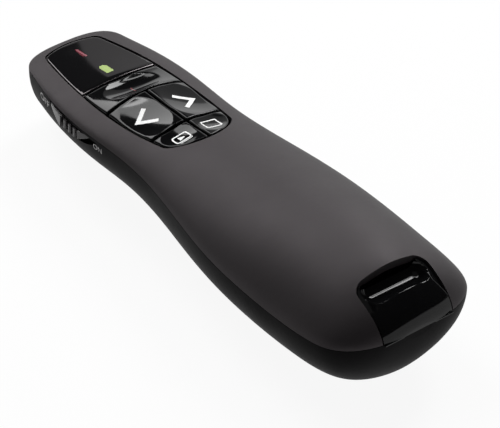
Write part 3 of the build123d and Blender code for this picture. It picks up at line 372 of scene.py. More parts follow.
def distance_to(points, loop):
    """Shortest distance of each point to a closed outline."""
    run = np.roll(loop, -1, axis=0) - loop
    nearest = np.full(len(points), np.inf)
    for begin in range(0, len(points), BATCH):
        to = points[begin : begin + BATCH, None, :] - loop[None]
        t = np.clip((to * run[None]).sum(2) / (run**2).sum(1), 0, 1)
        nearest[begin : begin + BATCH] = np.linalg.norm(to - t[..., None] * run[None], axis=2).min(1)
    return nearest


def inside(points, loop):
    """Which points lie inside a closed outline."""
    x, y = points[:, :1], points[:, 1:]
    x0, y0 = loop.T
    x1, y1 = np.roll(loop, -1, axis=0).T
    spans = (y0 > y) != (y1 > y)
    with np.errstate(divide="ignore", invalid="ignore"):
        crossing = x0 + (y - y0) * (x1 - x0) / (y1 - y0)
    return (spans & (x < crossing)).sum(1) % 2 == 1


# ---------------------------------------------------------------- mesh bodies
RIM_SPACING, RIM_CLEAR, EDGE_STEPS, RIBBON_STEP, RIBBON_MITRE = 0.25, 0.45, 6, 0.25, 0.4
PLATE_ANGLE, GROWN_ANGLE = 35.0, 40.0


def lifted(surface, rise):
    """Height law of a surface, raised or sunk."""
    return lambda x, y: surface(x, y) + rise


def even(height):
    """Height law of a flat plane."""
    return lambda x, y: x * 0 + height


def as_anticlockwise(loop):
    x, y = np.asarray(loop).T
    area = np.sum(x * np.roll(y, -1) - np.roll(x, -1) * y)
    return np.asarray(loop) if area > 0 else np.asarray(loop)[::-1]


def flat_triangles(rings, loose):
    """Triangles over nested outlines with loose points between them; the first outline is the edge."""
    points = np.vstack([*rings, loose]) if len(loose) else np.vstack(rings)
    edges, start = [], 0
    for ring in rings:
        count = len(ring)
        edges += [(start + i, start + (i + 1) % count) for i in range(count)]
        start += count
    verts, _, faces, origin, _, _ = delaunay_2d_cdt([Vector(p) for p in points], edges, [], 1, 1e-7)
    flat = np.array([tuple(v) for v in verts])
    place = {old: new for new, olds in enumerate(origin) for old in olds}
    edge = [place[i] for i in range(len(rings[0]))]
    return flat, [tuple(face) for face in faces], edge


def linked(name, data):
    """New object in the scene for a mesh, curve, lamp or camera."""
    made = bpy.data.objects.new(name, data)
    bpy.context.scene.collection.objects.link(made)
    return made


def cleaned(mesh, smooth_angle):
    """Welds a mesh, turns its faces outwards and shades it smooth but for its sharp edges."""
    shape = bmesh.new()
    shape.from_mesh(mesh)
    bmesh.ops.remove_doubles(shape, verts=shape.verts, dist=WELD)
    bmesh.ops.recalc_face_normals(shape, faces=shape.faces)
    shape.to_mesh(mesh)
    shape.free()
    mesh.shade_smooth()
    mesh.set_sharp_from_angle(angle=radians(smooth_angle))
    return mesh


def evaluated(holder):
    """Plain mesh of what an object evaluates to; the object itself goes."""
    bpy.context.view_layer.update()
    depsgraph = bpy.context.evaluated_depsgraph_get()
    mesh = bpy.data.meshes.new_from_object(holder.evaluated_get(depsgraph))
    bpy.data.objects.remove(holder)
    return mesh


def as_object(name, points, faces):
    """Mesh object at the origin from points in mm."""
    mesh = bpy.data.meshes.new(name)
    mesh.from_pydata([tuple(float(c) * MM for c in p) for p in points], [], faces)
    return linked(name, cleaned(mesh, PLATE_ANGLE))


def in_plan(u, v, h):
    """Places a plate in the plan, height upwards."""
    return np.c_[u, v, h]


def plate(name, outline, top, under, edge, spacing, place=in_plan):
    """Closed body over an outline: its top follows a height law and rolls off round the edge."""
    loop = as_anticlockwise(resampled(outline, min(spacing, RIM_SPACING)))
    turns = np.linspace(0, pi / 2, EDGE_STEPS) if edge else [0]
    rings = [loop] + [inset(loop, edge * (1 - cos(t))) for t in turns[1:]]
    low, high = loop.min(0), loop.max(0)
    columns, rows = (np.arange(low[i], high[i], spacing) for i in (0, 1))
    grid = np.stack(np.meshgrid(columns, rows), -1)
    grid[1::2, :, 0] += spacing / 2
    grid = grid.reshape(-1, 2)
    grid = grid[inside(grid, loop)]
    grid = grid[distance_to(grid, loop) > edge + spacing * RIM_CLEAR] if len(grid) else grid
    flat, faces, rim = flat_triangles(rings, grid)
    gone = np.clip(1 - distance_to(flat, loop) / edge, 0, 1) if edge else np.zeros(len(flat))
    height = top(flat[:, 0], flat[:, 1]) - edge * (1 - np.sqrt(1 - gone**2))
    over = place(flat[:, 0], flat[:, 1], height)
    foot = flat[rim]
    below = place(foot[:, 0], foot[:, 1], under(foot[:, 0], foot[:, 1]))
    start, count = len(over), len(rim)
    walls = [(rim[i], rim[(i + 1) % count], start + (i + 1) % count, start + i) for i in range(count)]
    _, floor_faces, floor_rim = flat_triangles([foot], np.empty((0, 2)))
    back = {floor_rim[i]: start + i for i in range(count)}
    bottom = [tuple(back[v] for v in face[::-1]) for face in floor_faces]
    return as_object(name, np.vstack([over, below]), faces + walls + bottom)


def ribbon(name, path, width, height, closed=False, lift=INK_LIFT):
    """Flat printed line along a path, laid on a height law, with mitred bends."""
    path = np.array(path, float)
    ahead = unit(np.roll(path, -1, axis=0) - path)
    behind = np.roll(ahead, 1, axis=0)
    if not closed:
        behind[0], ahead[-1] = ahead[0], behind[-1]
    normal = leftward(unit(behind + ahead))
    mitre = np.maximum(np.abs((normal * leftward(ahead)).sum(1)), RIBBON_MITRE)
    offset = normal / mitre[:, None] * width / 2
    stations = []
    for i in range(len(path) if closed else len(path) - 1):
        j = (i + 1) % len(path)
        pieces = max(int(np.linalg.norm(path[j] - path[i]) / RIBBON_STEP), 1)
        for k in range(pieces):
            t = k / pieces
            stations.append((path[i] * (1 - t) + path[j] * t, offset[i] * (1 - t) + offset[j] * t))
    if not closed:
        stations.append((path[-1], offset[-1]))
    points, faces = [], []
    for centre, side in stations:
        for sign, up in ((1, lift), (-1, lift), (-1, -INK_SINK), (1, -INK_SINK)):
            x, y = centre + sign * side
            points.append((x, y, float(height(x, y)) + up))
    count = len(stations)
    for i in range(count if closed else count - 1):
        a, b = 4 * i, 4 * ((i + 1) % count)
        faces += [(a + k, a + (k + 1) % 4, b + (k + 1) % 4, b + k) for k in range(4)]
    if not closed:
        last = 4 * (count - 1)
        faces += [(3, 2, 1, 0), (last, last + 1, last + 2, last + 3)]
    return as_object(name, points, faces)


def joined(name, parts):
    """One object from several, in the order given."""
    shape = bmesh.new()
    for part in parts:
        shape.from_mesh(part.data)
        mesh = part.data
        bpy.data.objects.remove(part)
        bpy.data.meshes.remove(mesh)
    mesh = bpy.data.meshes.new(name)
    shape.to_mesh(mesh)
    shape.free()
    return linked(name, mesh)


# ---------------------------------------------------------------- shader kit
class Signal:
    """A number that changes over a surface; arithmetic on it adds Math nodes."""

    def __init__(self, paint, socket):
        self.paint, self.socket = paint, socket

    def maths(self, operation, *values):
        node = self.paint.node("ShaderNodeMath", {"operation": operation}, dict(enumerate(values)))
        return Signal(self.paint, node.outputs[0])

    def __add__(self, other):
        return self.maths("ADD", self, other)

    def __radd__(self, other):
        return self.maths("ADD", other, self)

    def __sub__(self, other):
        return self.maths("SUBTRACT", self, other)

    def __rsub__(self, other):
        return self.maths("SUBTRACT", other, self)

    def __mul__(self, other):
        return self.maths("MULTIPLY", self, other)

    def __rmul__(self, other):
        return self.maths("MULTIPLY", other, self)

    def __truediv__(self, other):
        return self.maths("DIVIDE", self, other)

    def above(self, other):
        return self.maths("GREATER_THAN", self, other)

    def wave(self, period):
        """Sawtooth that climbs from 0 to 1 over each period."""
        turns = self / period
        return self.maths("FRACT", turns)

    def between(self, low, high):
        """0 under low, 1 over high and a smooth climb in between."""
        settings = {"interpolation_type": "SMOOTHSTEP"}
        node = self.paint.node("ShaderNodeMapRange", settings, {0: self, 1: low, 2: high})
        return Signal(self.paint, node.outputs[0])


class Paint:
    """One material while it is put together on the object's own coordinates."""

    def __init__(self, name):
        self.material = bpy.data.materials.new(name)
        self.material.use_nodes = True
        self.tree = self.material.node_tree
        self.tree.nodes.clear()
        self.output = self.node("ShaderNodeOutputMaterial")
        self.shader = self.node("ShaderNodeBsdfPrincipled")
        self.tree.links.new(self.shader.outputs[0], self.output.inputs[0])
        self.place = self.node("ShaderNodeTexCoord").outputs["Object"]

    def node(self, kind, settings=None, inputs=None):
        """Any node: its settings first, then the values or links of its sockets."""
        node = self.tree.nodes.new(kind)
        for key, value in (settings or {}).items():
            setattr(node, key, value)
        for key, value in (inputs or {}).items():
            self.feed(node.inputs[key], value)
        return node

    def feed(self, socket, value):
        if isinstance(value, Signal):
            value = value.socket
        if isinstance(value, bpy.types.NodeSocket):
            self.tree.links.new(value, socket)
        else:
            socket.default_value = value

    def axes(self):
        """The object's own X, Y and Z in mm."""
        node = self.node("ShaderNodeSeparateXYZ", inputs={0: self.place})
        return [Signal(self, output) * (1 / MM) for output in node.outputs]

    def noise(self, size, detail=2.0, roughness=0.5):
        """Cloudy pattern whose patches are about size mm across."""
        inputs = {"Vector": self.place, "Scale": 1 / (size * MM), "Detail": detail, "Roughness": roughness}
        return Signal(self, self.node("ShaderNodeTexNoise", inputs=inputs).outputs[0])

    def cells(self, size):
        """Distance to the nearest grain centre, grains about size mm across."""
        inputs = {"Vector": self.place, "Scale": 1 / (size * MM)}
        return Signal(self, self.node("ShaderNodeTexVoronoi", inputs=inputs).outputs["Distance"])

    def mix(self, factor, first, second):
        """Blend of two colours."""
        inputs = {0: factor, 6: colour4(first), 7: colour4(second)}
        return self.node("ShaderNodeMix", {"data_type": "RGBA"}, inputs).outputs[2]

    def bump(self, height, strength, distance):
        inputs = {"Height": height, "Strength": strength, "Distance": distance * MM}
        self.set(Normal=self.node("ShaderNodeBump", inputs=inputs).outputs[0])

    def set(self, **sockets):
        """Sockets of the surface shader, by name with _ for a space."""
        for key, value in sockets.items():
            self.feed(self.shader.inputs[key.replace("_", " ")], colour4(value))
        return self.material


def colour4(value):
    """A colour gets its opacity; anything else stays as it is."""
    return (*value, 1.0) if hasattr(value, "__len__") and len(value) == 3 else value


def wear(paint, base, amount):
    """Roughness with faint patches and specks over it."""
    patches, specks = paint.noise(6.0, 4.0) - 0.5, paint.noise(0.5, 2.0) - 0.5
    return base + amount * patches + amount * 0.6 * specks


def scaled(colour, share):
    return tuple(c * share for c in colour)


# ---------------------------------------------------------------- finishes
MADE = {}


def finish_named(name, maker=None):
    """The material of a finish, made the first time that it is asked for."""
    if name not in MADE:
        MADE[name] = (maker or FINISHES[name])(Paint(name))
    return MADE[name]


def soft_coat(paint):
    """Soft-touch lacquer: a very fine dust-like grain and faint handling patches."""
    tone = finish_colours().soft_coat
    warm = tuple(c * s for c, s in zip(tone, (1.18, 1.08, 1.12)))
    cloud = paint.noise(18.0, 3.0)
    grain = paint.noise(0.09, 2.0, 0.6)
    paint.bump(grain, 0.10, 0.02)
    return paint.set(
        Base_Color=paint.mix(cloud, tone, warm), Roughness=wear(paint, 0.62, 0.08),
        Specular_IOR_Level=0.5, Specular_Tint=(1.0, 0.91, 0.95),
    )


def grained_plastic(paint):
    """Spark-eroded grain of the lower case."""
    tone = finish_colours().lower_case
    pale = scaled(tone, 1.35)
    grain = paint.noise(0.22, 3.0, 0.65)
    pits = paint.cells(0.35)
    paint.bump(grain * 0.7 + pits * 0.3, 0.28, 0.03)
    return paint.set(
        Base_Color=paint.mix(grain, tone, pale), Roughness=wear(paint, 0.5, 0.12),
        Specular_IOR_Level=0.03,
    )


def gloss_plastic(paint):
    """Polished black with a trace of orange peel and finger haze."""
    tone = finish_colours().gloss
    haze = paint.noise(5.0, 4.0).between(0.45, 0.8)
    paint.bump(paint.noise(2.2, 1.0), 0.04, 0.05)
    return paint.set(
        Base_Color=paint.mix(haze, tone, scaled(tone, 1.5)), Roughness=0.07 + 0.06 * haze,
        Specular_IOR_Level=0.22,
    )


def smoked_window(paint):
    """Dark acrylic with a faint haze."""
    tone = finish_colours().window
    haze = paint.noise(7.0, 3.0).between(0.5, 0.85)
    paint.bump(paint.noise(4.0, 1.0), 0.02, 0.05)
    return paint.set(
        Base_Color=paint.mix(haze, tone, scaled(tone, 1.3)), Roughness=0.05 + 0.04 * haze,
        Specular_Tint=(1.0, 0.9, 0.93),
    )


def slider_plastic(paint):
    """Satin black of the slider."""
    paint.bump(paint.noise(0.3, 2.0), 0.12, 0.02)
    tone = paint.mix(paint.noise(1.5), (0.022, 0.02, 0.022), (0.04, 0.036, 0.038))
    return paint.set(Base_Color=tone, Roughness=wear(paint, 0.26, 0.10))


def white_ink(paint):
    """Pad-printed ink, a little uneven."""
    speck = paint.noise(0.25, 3.0)
    paint.bump(speck, 0.1, 0.01)
    return paint.set(Base_Color=paint.mix(speck, (0.84, 0.84, 0.84), (0.93, 0.93, 0.92)), Roughness=0.45)


def faded_ink(paint):
    speck = paint.noise(0.25, 3.0)
    return paint.set(Base_Color=paint.mix(speck, (0.42, 0.41, 0.41), (0.55, 0.54, 0.54)), Roughness=0.5)


def lit_mark(colour, strength):
    """Mark that glows with an emission: on the window it stands for a mark lit from behind by its lamp; on
    the laser key it is a painted glow over the red mark, with no lamp behind it.
    """

    def make(paint):
        glow = paint.mix(paint.noise(1.2, 2.0), scaled(colour, 0.8), colour)
        return paint.set(
            Base_Color=glow, Emission_Color=glow, Emission_Strength=strength, Roughness=0.25, Coat_Weight=0.5,
        )

    return make


def metal(colour, roughness, brushed=False):
    """Plated or turned metal with fine drawing lines."""

    def make(paint):
        lines = paint.noise(0.12 if brushed else 0.6, 4.0, 0.7)
        paint.bump(lines, 0.08, 0.01)
        return paint.set(
            Base_Color=paint.mix(lines, scaled(colour, 0.85), colour), Metallic=1.0,
            Roughness=roughness + 0.12 * (lines - 0.5),
        )

    return make


def moulded(colour, roughness=0.4, grain=0.3):
    """Plain moulded or painted part with faint patches."""

    def make(paint):
        patches = paint.mix(paint.noise(4.0, 3.0), scaled(colour, 0.85), colour)
        paint.bump(paint.noise(grain, 2.0), 0.1, 0.02)
        return paint.set(Base_Color=patches, Roughness=wear(paint, roughness, 0.1))

    return make


def clear(colour, roughness):
    """Clear glass or acrylic."""

    def make(paint):
        body = paint.mix(paint.noise(3.0), colour, scaled(colour, 0.96))
        return paint.set(Base_Color=body, Roughness=roughness, Transmission_Weight=0.9, IOR=1.49)

    return make


def circuit_board(paint):
    """Solder mask with tracks that show through as paler lines, and bare glass on its edge."""
    x, y, _ = paint.axes()
    track = ((x + 0.35 * y.maths("SINE", y * 0.9)).wave(1.1)).above(0.72)
    cross = (y.wave(2.3)).above(0.82)
    lines = track.maths("MAXIMUM", track, cross)
    paint.bump(lines, 0.3, 0.02)
    mask = paint.mix(paint.noise(0.8), (0.012, 0.075, 0.035), (0.016, 0.095, 0.045))
    return paint.set(Base_Color=paint.mix(lines, mask, (0.03, 0.17, 0.075)), Roughness=0.32 + 0.1 * lines)


def chip_body(paint):
    """Moulded black of a chip package."""
    paint.bump(paint.noise(0.1, 2.0), 0.2, 0.01)
    return paint.set(Base_Color=paint.mix(paint.noise(0.4), (0.018,) * 3, (0.032,) * 3), Roughness=0.55)


def cell_jacket(paint):
    """Plain printed sleeve: a dark body, one pale band and bare ends."""
    _, y, _ = paint.axes()
    low, high = (v.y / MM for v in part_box("cell_left"))
    along = (y - low) / (high - low)
    band = along.between(0.70, 0.715) * (1 - along.between(0.80, 0.815))
    bare = along.between(0.955, 0.965) + (1 - along.between(0.03, 0.04))
    sleeve = paint.mix(band, (0.03, 0.05, 0.09), (0.55, 0.57, 0.6))
    colour = paint.mix(bare, sleeve, (0.62, 0.62, 0.63))
    return paint.set(Base_Color=colour, Metallic=0.35 + 0.6 * bare, Roughness=0.3 + 0.08 * paint.noise(1.0))


PAINTS = (
    soft_coat, grained_plastic, gloss_plastic, smoked_window, slider_plastic, white_ink, faded_ink,
    circuit_board, chip_body, cell_jacket,
)
FINISHES = {
    **{paint.__name__: paint for paint in PAINTS}, "battery_mark": lit_mark((0.40, 0.53, 0.17), 0.12),
    "laser_mark": lit_mark((0.26, 0.08, 0.10), 0.25), "laser_glow": lit_mark((0.11, 0.003, 0.012), 0.35),
    # The laser key's red mark gets a faint painted glow; no lamp stands behind it.
    "laser_key_mark_painted_glow": lit_mark((0.16, 0.012, 0.02), 0.1),
    "plated_steel": metal((0.72, 0.72, 0.73), 0.22), "brushed_can": metal((0.62, 0.62, 0.64), 0.34, True),
    "brass": metal((0.80, 0.58, 0.26), 0.28, True), "gold_flash": metal((0.95, 0.72, 0.32), 0.2),
    "copper_strip": metal((0.85, 0.45, 0.25), 0.3, True),
    "black_screw": metal((0.10, 0.10, 0.11), 0.38, True),
    "turned_bezel": metal((0.30, 0.30, 0.31), 0.25, True), "nylon": moulded((0.75, 0.74, 0.70), 0.5),
    "inner_black": moulded((0.03, 0.03, 0.032), 0.5), "red_lead": moulded((0.42, 0.02, 0.02), 0.35),
    "lamp_resin": moulded((0.8, 0.78, 0.6), 0.2), "clear_guide": clear((0.95, 0.96, 0.96), 0.12),
    "lens_glass": clear((0.92, 0.95, 1.0), 0.02), "passive_body": moulded((0.30, 0.24, 0.18), 0.4),
}

CARRIED = {
    "soft_coat": ["top_case"],
    "grained_plastic": ["bottom_case", "battery_door"],
    "inner_black": ["receiver_bay", "battery_tray", "usb_tongue", "power_switch_lever"],
    "gloss_plastic": ["receiver_base"],
    "circuit_board": ["main_board", "receiver_board"],
    "chip_body": ["controller_chip", "radio_chip", "receiver_chip"],
    "brushed_can": ["clock_crystal", "receiver_crystal", "tact_switches", "power_switch_body", "laser_diode"],
    "passive_body": ["board_passives"],
    "copper_strip": ["strip_antenna"],
    "lamp_resin": ["battery_lamp", "laser_lamp"],
    "clear_guide": ["battery_light_guide", "laser_light_guide"],
    "brass": ["laser_barrel"],
    "turned_bezel": ["laser_bezel"],
    "lens_glass": ["laser_lens", "laser_glass"],
    "red_lead": ["laser_leads", "battery_leads"],
    "nylon": [
        "laser_clamp", "laser_plunger", "back_plunger", "next_plunger", "slideshow_plunger", "blank_plunger",
    ],
    "cell_jacket": ["cell_left", "cell_right"],
    "plated_steel": ["bridge_plate", "positive_plate", "negative_plate", "usb_shell"],
    "gold_flash": ["usb_contacts"],
    "black_screw": ["case_screws", "board_screws"],
}


def painted(made, finish):
    made.data.materials.clear()
    made.data.materials.append(finish_named(finish))
    return made


def settled(made, finish, body, replaces=()):
    """Paints a finished piece, puts it on its body and hides the CAD parts that it stands for."""
    painted(made, finish)
    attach(made, body)
    if replaces:
        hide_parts(*replaces)
    return made


# ---------------------------------------------------------------- settings
def tint(name, text, default):
    return FloatVectorProperty(
        name=name, description=text, subtype="COLOR", size=3, min=0.0, max=1.0, default=default,
    )


def length(name, text, default):
    return FloatProperty(name=name, description=text, default=default, min=0.0, unit="LENGTH")


def number(name, text, default):
    return IntProperty(name=name, description=text, default=default, min=1)


class ClickerColours(bpy.types.PropertyGroup):
    soft_coat: tint("Top case", "Soft-touch lacquer of the top case", (0.0056, 0.0045, 0.0050))
    lower_case: tint("Lower case", "Grained plastic of the lower case and door", (0.0028, 0.0025, 0.0028))
    gloss: tint("Keys", "Polished plastic of the keys and receiver cap", (0.003, 0.003, 0.0033))
    window: tint("Window", "Smoked window", (0.003, 0.003, 0.0033))


class ClickerSizes(bpy.types.PropertyGroup):
    key_edge: length("Key edge", "Radius of the rounded edge of each key", 0.00045)
    window_edge: length("Window edge", "Radius of the rounded edge of the window", 0.0003)
    ink_width: length("Arrow line", "Width of the printed arrow lines", 0.00095)
    icon_width: length("Icon line", "Width of the thin printed icon lines", 0.00034)
    laser_dish: length("Laser dish", "Depth of the thumb dish in the laser key", 0.0014)
    arrow_dish: length("Arrow dish", "Depth of the thumb dishes in the arrow keys", 0.0008)
    spring_wire: length("Spring wire", "Thickness of the battery spring wire", 0.0005)
    spring_turns: number("Spring turns", "Turns of each battery spring", 4)
    rib_count: number("Slider ribs", "Ribs on the power slider", 3)


def finish_colours():
    return bpy.context.scene.clicker_colours


def sizes():
    return bpy.context.scene.clicker_sizes


# ---------------------------------------------------------------- window and keys
KEY_CORNER, WINDOW_CORNER, LOOP_STEP, LOOP_LEAST, BEYOND = 0.35, 0.25, 0.3, 0.02, 3
MARK_SINK, MARK_SPACING, MARK_CORNER, WINDOW_SPACING, KEY_SPACING = 0.1, 0.4, 0.1, 0.5, 0.3


def key_loop(y0, y1, side):
    """Outline of one key: the opening, cut to a stretch of Y and to one side of the middle."""
    loop = as_anticlockwise(opening_outline(-KEY_GAP))
    loop = clipped(clipped(loop, 1, y0, True), 1, y1, False)
    if side:
        loop = clipped(loop, 0, side * KEY_SPLIT / 2, side > 0)
    return softened(resampled_keeping(loop), KEY_CORNER)


def resampled_keeping(loop):
    """Even spacing along the outline without losing its corners."""
    points = []
    for i, point in enumerate(loop):
        follow = loop[(i + 1) % len(loop)]
        run = follow - point
        pieces = max(int(np.linalg.norm(run) / LOOP_STEP), 1)
        points += [point + run * k / pieces for k in range(pieces)]
    return np.array([p for i, p in enumerate(points) if np.linalg.norm(p - points[i - 1]) > LOOP_LEAST])


def dish(x, y, hollow, depth):
    """Oval hollow that runs out to nothing at its rim."""
    (middle_x, middle_y), (reach_x, reach_y) = hollow
    share = ((x - middle_x) / reach_x) ** 2 + ((y - middle_y) / reach_y) ** 2
    return depth * np.clip(1 - share, 0, 1) ** DISH_POWER


def laser_surface(x, y):
    return laser_key_top(x, y) - dish(x, y, LASER_DISH, sizes().laser_dish / MM)


def arrow_surface(x, y):
    return arrow_key_top(x, y) - dish(np.abs(x), y, ARROW_DISH, sizes().arrow_dish / MM)


def small_surface(x, y):
    return arrow_key_top(x, y) - dish(np.abs(x), y, SMALL_DISH, SMALL_DISH_DEPTH)


def key_spans():
    split = KEY_SPLIT / 2
    window, arc, arrows = from_nose(WINDOW_END), from_nose(LASER_KEY_END), from_nose(ARROW_KEYS_END)
    low = from_nose(OPENING_END + BEYOND)
    return {
        "laser": (arc + split, window - split, 0, laser_surface),
        "back": (arrows + split, arc - split, -1, arrow_surface),
        "next": (arrows + split, arc - split, 1, arrow_surface),
        "slideshow": (low, arrows - split, -1, small_surface),
        "blank": (low, arrows - split, 1, small_surface),
    }


def battery_outline():
    """Upright cell with its nub towards the nose."""
    low, high = from_nose(CELL_END), from_nose(CELL_START)
    right = [(CELL_MARK, low), (CELL_MARK, high), (NUB_MARK, high), (NUB_MARK, high + NUB_TALL)]
    left = [(-x, y) for x, y in right[::-1]]
    return rounded([left[-1], *right, *left[:-1]], MARK_CORNER, 3)


def on_face(marks):
    """Places in the plan from (x, distance from the nose)."""
    return [(x, from_nose(distance)) for x, distance in marks]


class CLICKER_OT_window(bpy.types.Operator):
    """Smoked window with its battery and laser marks"""

    bl_idname = "clicker.window"
    bl_label = "Window"

    def execute(self, context):
        loop = as_anticlockwise(opening_outline(-WINDOW_GAP))
        loop = clipped(loop, 1, from_nose(WINDOW_END) + KEY_SPLIT / 2, True)
        loop = softened(resampled_keeping(loop), WINDOW_CORNER)
        foot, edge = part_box("status_window")[0].z / MM, sizes().window_edge / MM
        window = plate("window_pane", loop, window_skin, even(foot), edge, WINDOW_SPACING)
        settled(window, "smoked_window", "shell", ["status_window"])
        under = lifted(window_top, -MARK_SINK)
        over = lifted(window_top, BATTERY_LIFT)
        battery = plate("battery_mark", battery_outline(), over, under, 0, MARK_SPACING)
        settled(battery, "battery_mark", "shell")
        path = on_face(LASER_MARK)
        beam = ribbon("laser_mark", path, LASER_MARK_WIDE, window_top, lift=LASER_LIFT)
        settled(beam, "laser_mark", "shell")
        halo = np.array(path)[[0, 0, 1, 1]] + LASER_GLOW
        over = lifted(window_top, GLOW_LIFT)
        glow = plate("laser_glow", rounded(halo, GLOW_CORNER, 5), over, under, 0, MARK_SPACING)
        settled(glow, "laser_glow", "shell")
        return {"FINISHED"}


class CLICKER_OT_keys(bpy.types.Operator):
    """Five polished keys with thumb dishes"""

    bl_idname = "clicker.keys"
    bl_label = "Keys"

    def execute(self, context):
        for name, (y0, y1, side, surface) in key_spans().items():
            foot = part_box(f"{name}_button")[0].z / MM
            edge = sizes().key_edge / MM
            cap = plate(f"{name}_key_cap", key_loop(y0, y1, side), surface, even(foot), edge, KEY_SPACING)
            settled(cap, "gloss_plastic", f"{name}_key", [f"{name}_button"])
        return {"FINISHED"}


class CLICKER_OT_icons(bpy.types.Operator):
    """Printed arrows, play mark, blank-screen mark and laser mark on the keys"""

    bl_idname = "clicker.icons"
    bl_label = "Icons"

    def execute(self, context):
        bold, thin = sizes().ink_width / MM, sizes().icon_width / MM
        middle = from_nose(ARROW_MIDDLE)
        for side, name in ((-1, "back"), (1, "next")):
            corner = side * ARROW_REACH
            path = [(corner, middle + ARROW_HALF), (side * ARROW_TIP, middle), (corner, middle - ARROW_HALF)]
            arrow = ribbon(f"{name}_arrow", path, bold, arrow_surface)
            settled(arrow, "white_ink", f"{name}_key")
        left, right, low, high = PLAY_SCREEN
        middle = (low + high) / 2
        edge = np.array([(left, low), (right, low), (right, low)]) + PLAY_EDGE
        back = left + PLAY_BACK
        triangle = [(back, middle - PLAY_HALF), (right - PLAY_FRONT, middle), (back, middle + PLAY_HALF)]
        over, under = lifted(small_surface, INK_LIFT), lifted(small_surface, -INK_SINK)
        parts = [
            self.screen("play_frame", PLAY_SCREEN, PLAY_CORNER, thin),
            ribbon("play_edge", edge, thin * PLAY_EDGE_THIN, small_surface),
            plate("play_triangle", triangle, over, under, 0, KEY_SPACING),
        ]
        settled(joined("play_icon", parts), "white_ink", "slideshow_key")
        screen = self.screen("blank_screen_icon", BLANK_SCREEN, BLANK_CORNER, thin)
        settled(screen, "white_ink", "blank_key")
        # Red laser mark on the key, with a faint painted glow from its finish.
        mark = ribbon("laser_key_mark_painted_glow", on_face(LASER_KEY_MARK), LASER_KEY_MARK_WIDE, laser_surface)
        settled(mark, "laser_key_mark_painted_glow", "laser_key")
        return {"FINISHED"}

    def screen(self, name, edges, corner, width):
        """Printed frame with rounded corners."""
        return ribbon(name, rounded(rectangle(*edges), corner, 5), width, small_surface, closed=True)


# ---------------------------------------------------------------- receiver
def least_of(first, second, blend):
    """Lower of two heights with a rounded edge where they meet."""
    share = np.clip(0.5 + 0.5 * (second - first) / blend, 0, 1)
    return second * (1 - share) + first * share - blend * share * (1 - share)


def scoop_floor(x, y):
    """Height of the finger scoop: a trough across the cap with rounded ends."""
    beyond = np.clip(np.abs(x) - SCOOP_FLAT, 0, None) * SCOOP_RADIUS / (SCOOP_HALF - SCOOP_FLAT)
    away = np.sqrt(beyond**2 + (y - from_tail(SCOOP_FROM_TAIL)) ** 2)
    hollow = np.sqrt(np.clip(SCOOP_RADIUS**2 - away**2, 0, None))
    return SCOOP_HEIGHT - hollow + SCOOP_CLIMB * np.clip(away - SCOOP_RADIUS, 0, None)


def shoulder(x, y):
    """Drop of the two narrow flanks beside the thumb plate, which run out towards the tail."""
    behind = np.clip(from_tail(SCOOP_FROM_TAIL - SCOOP_RADIUS) - y, 0, None)
    off = np.clip((np.abs(x) - PLATE_HALF - PLATE_SPREAD * behind) / SHOULDER_WIDE, 0, 1)
    return SHOULDER_DROP * off**2 * (3 - 2 * off)


def cap_surface(x, y):
    return least_of(skin_top(x, y) - CAP_SUNK - shoulder(x, y), scoop_floor(x, y), LIP_ROUND)


class CLICKER_OT_receiver(bpy.types.Operator):
    """Glossy end cap of the stowed receiver, with its finger scoop"""

    bl_idname = "clicker.receiver"
    bl_label = "Receiver cap"

    def execute(self, context):
        low, high = (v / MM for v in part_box("receiver_cap"))
        across, along = CAP_STEPS
        angle = np.linspace(0, pi / 2, along)
        u = np.sin(np.linspace(-pi / 2, pi / 2, across + 1))
        rows = []
        for place in high.y - (high.y - low.y) * (1 - np.cos(angle) ** CAP_CROWD):
            near = np.clip(CAP_CORNER - (high.y - place), 0, CAP_CORNER)
            x = u * (CAP_HALF - (CAP_CORNER - sqrt(CAP_CORNER**2 - near**2)))
            rows.append(np.c_[x, np.full(len(x), place), np.maximum(cap_surface(x, place), low.z)])
        over = np.vstack(rows)
        under = np.c_[over[:, :2], np.full(len(over), low.z)]
        wide, shift = across + 1, len(over)
        faces = []
        for i in range(along - 1):
            for j in range(across):
                a, d = i * wide + j, (i + 1) * wide + j
                faces += [(a, a + 1, d + 1, d), (shift + d, shift + d + 1, shift + a + 1, shift + a)]
        edges = [(i * wide + j, (i + 1) * wide + j) for i in range(along - 1) for j in (0, across)]
        edges += [(i * wide + j, i * wide + j + 1) for j in range(across) for i in (0, along - 1)]
        faces += [(a, b, shift + b, shift + a) for a, b in edges]
        cap = as_object("receiver_end_cap", np.vstack([over, under]), faces)
        settled(cap, "gloss_plastic", "receiver", ["receiver_cap"])
        return {"FINISHED"}


# ---------------------------------------------------------------- power slider
def lens(shrink, y0, y1):
    """Flat-topped lens in the YZ plane: straight top edge, arc below."""
    middle = (y0 + y1) / 2
    top = girth(middle) - SWITCH_TOP - shrink
    low = top - SWITCH_TALL + 2 * shrink
    half, drop = (y1 - y0) / 2 - shrink, top - low
    radius = (half**2 + drop**2) / (2 * drop)
    angles = np.linspace(-np.arcsin(half / radius), np.arcsin(half / radius), ARC_STEPS)
    arc = np.c_[middle + radius * np.sin(angles), low + radius - radius * np.cos(angles)]
    return arc, top


def wall_side(u, v, h):
    """Places a plate on the left wall: u along Y, v along Z, height outwards."""
    return np.c_[-h, u, v]


def slider_middle():
    return from_nose((SWITCH_START + SWITCH_END) / 2) + SWITCH_TRAVEL / 2


def rib_places(count):
    middle = slider_middle() - RIB_SHIFT
    return [middle + RIB_PITCH * (step - (count - 1) / 2) for step in range(count)]


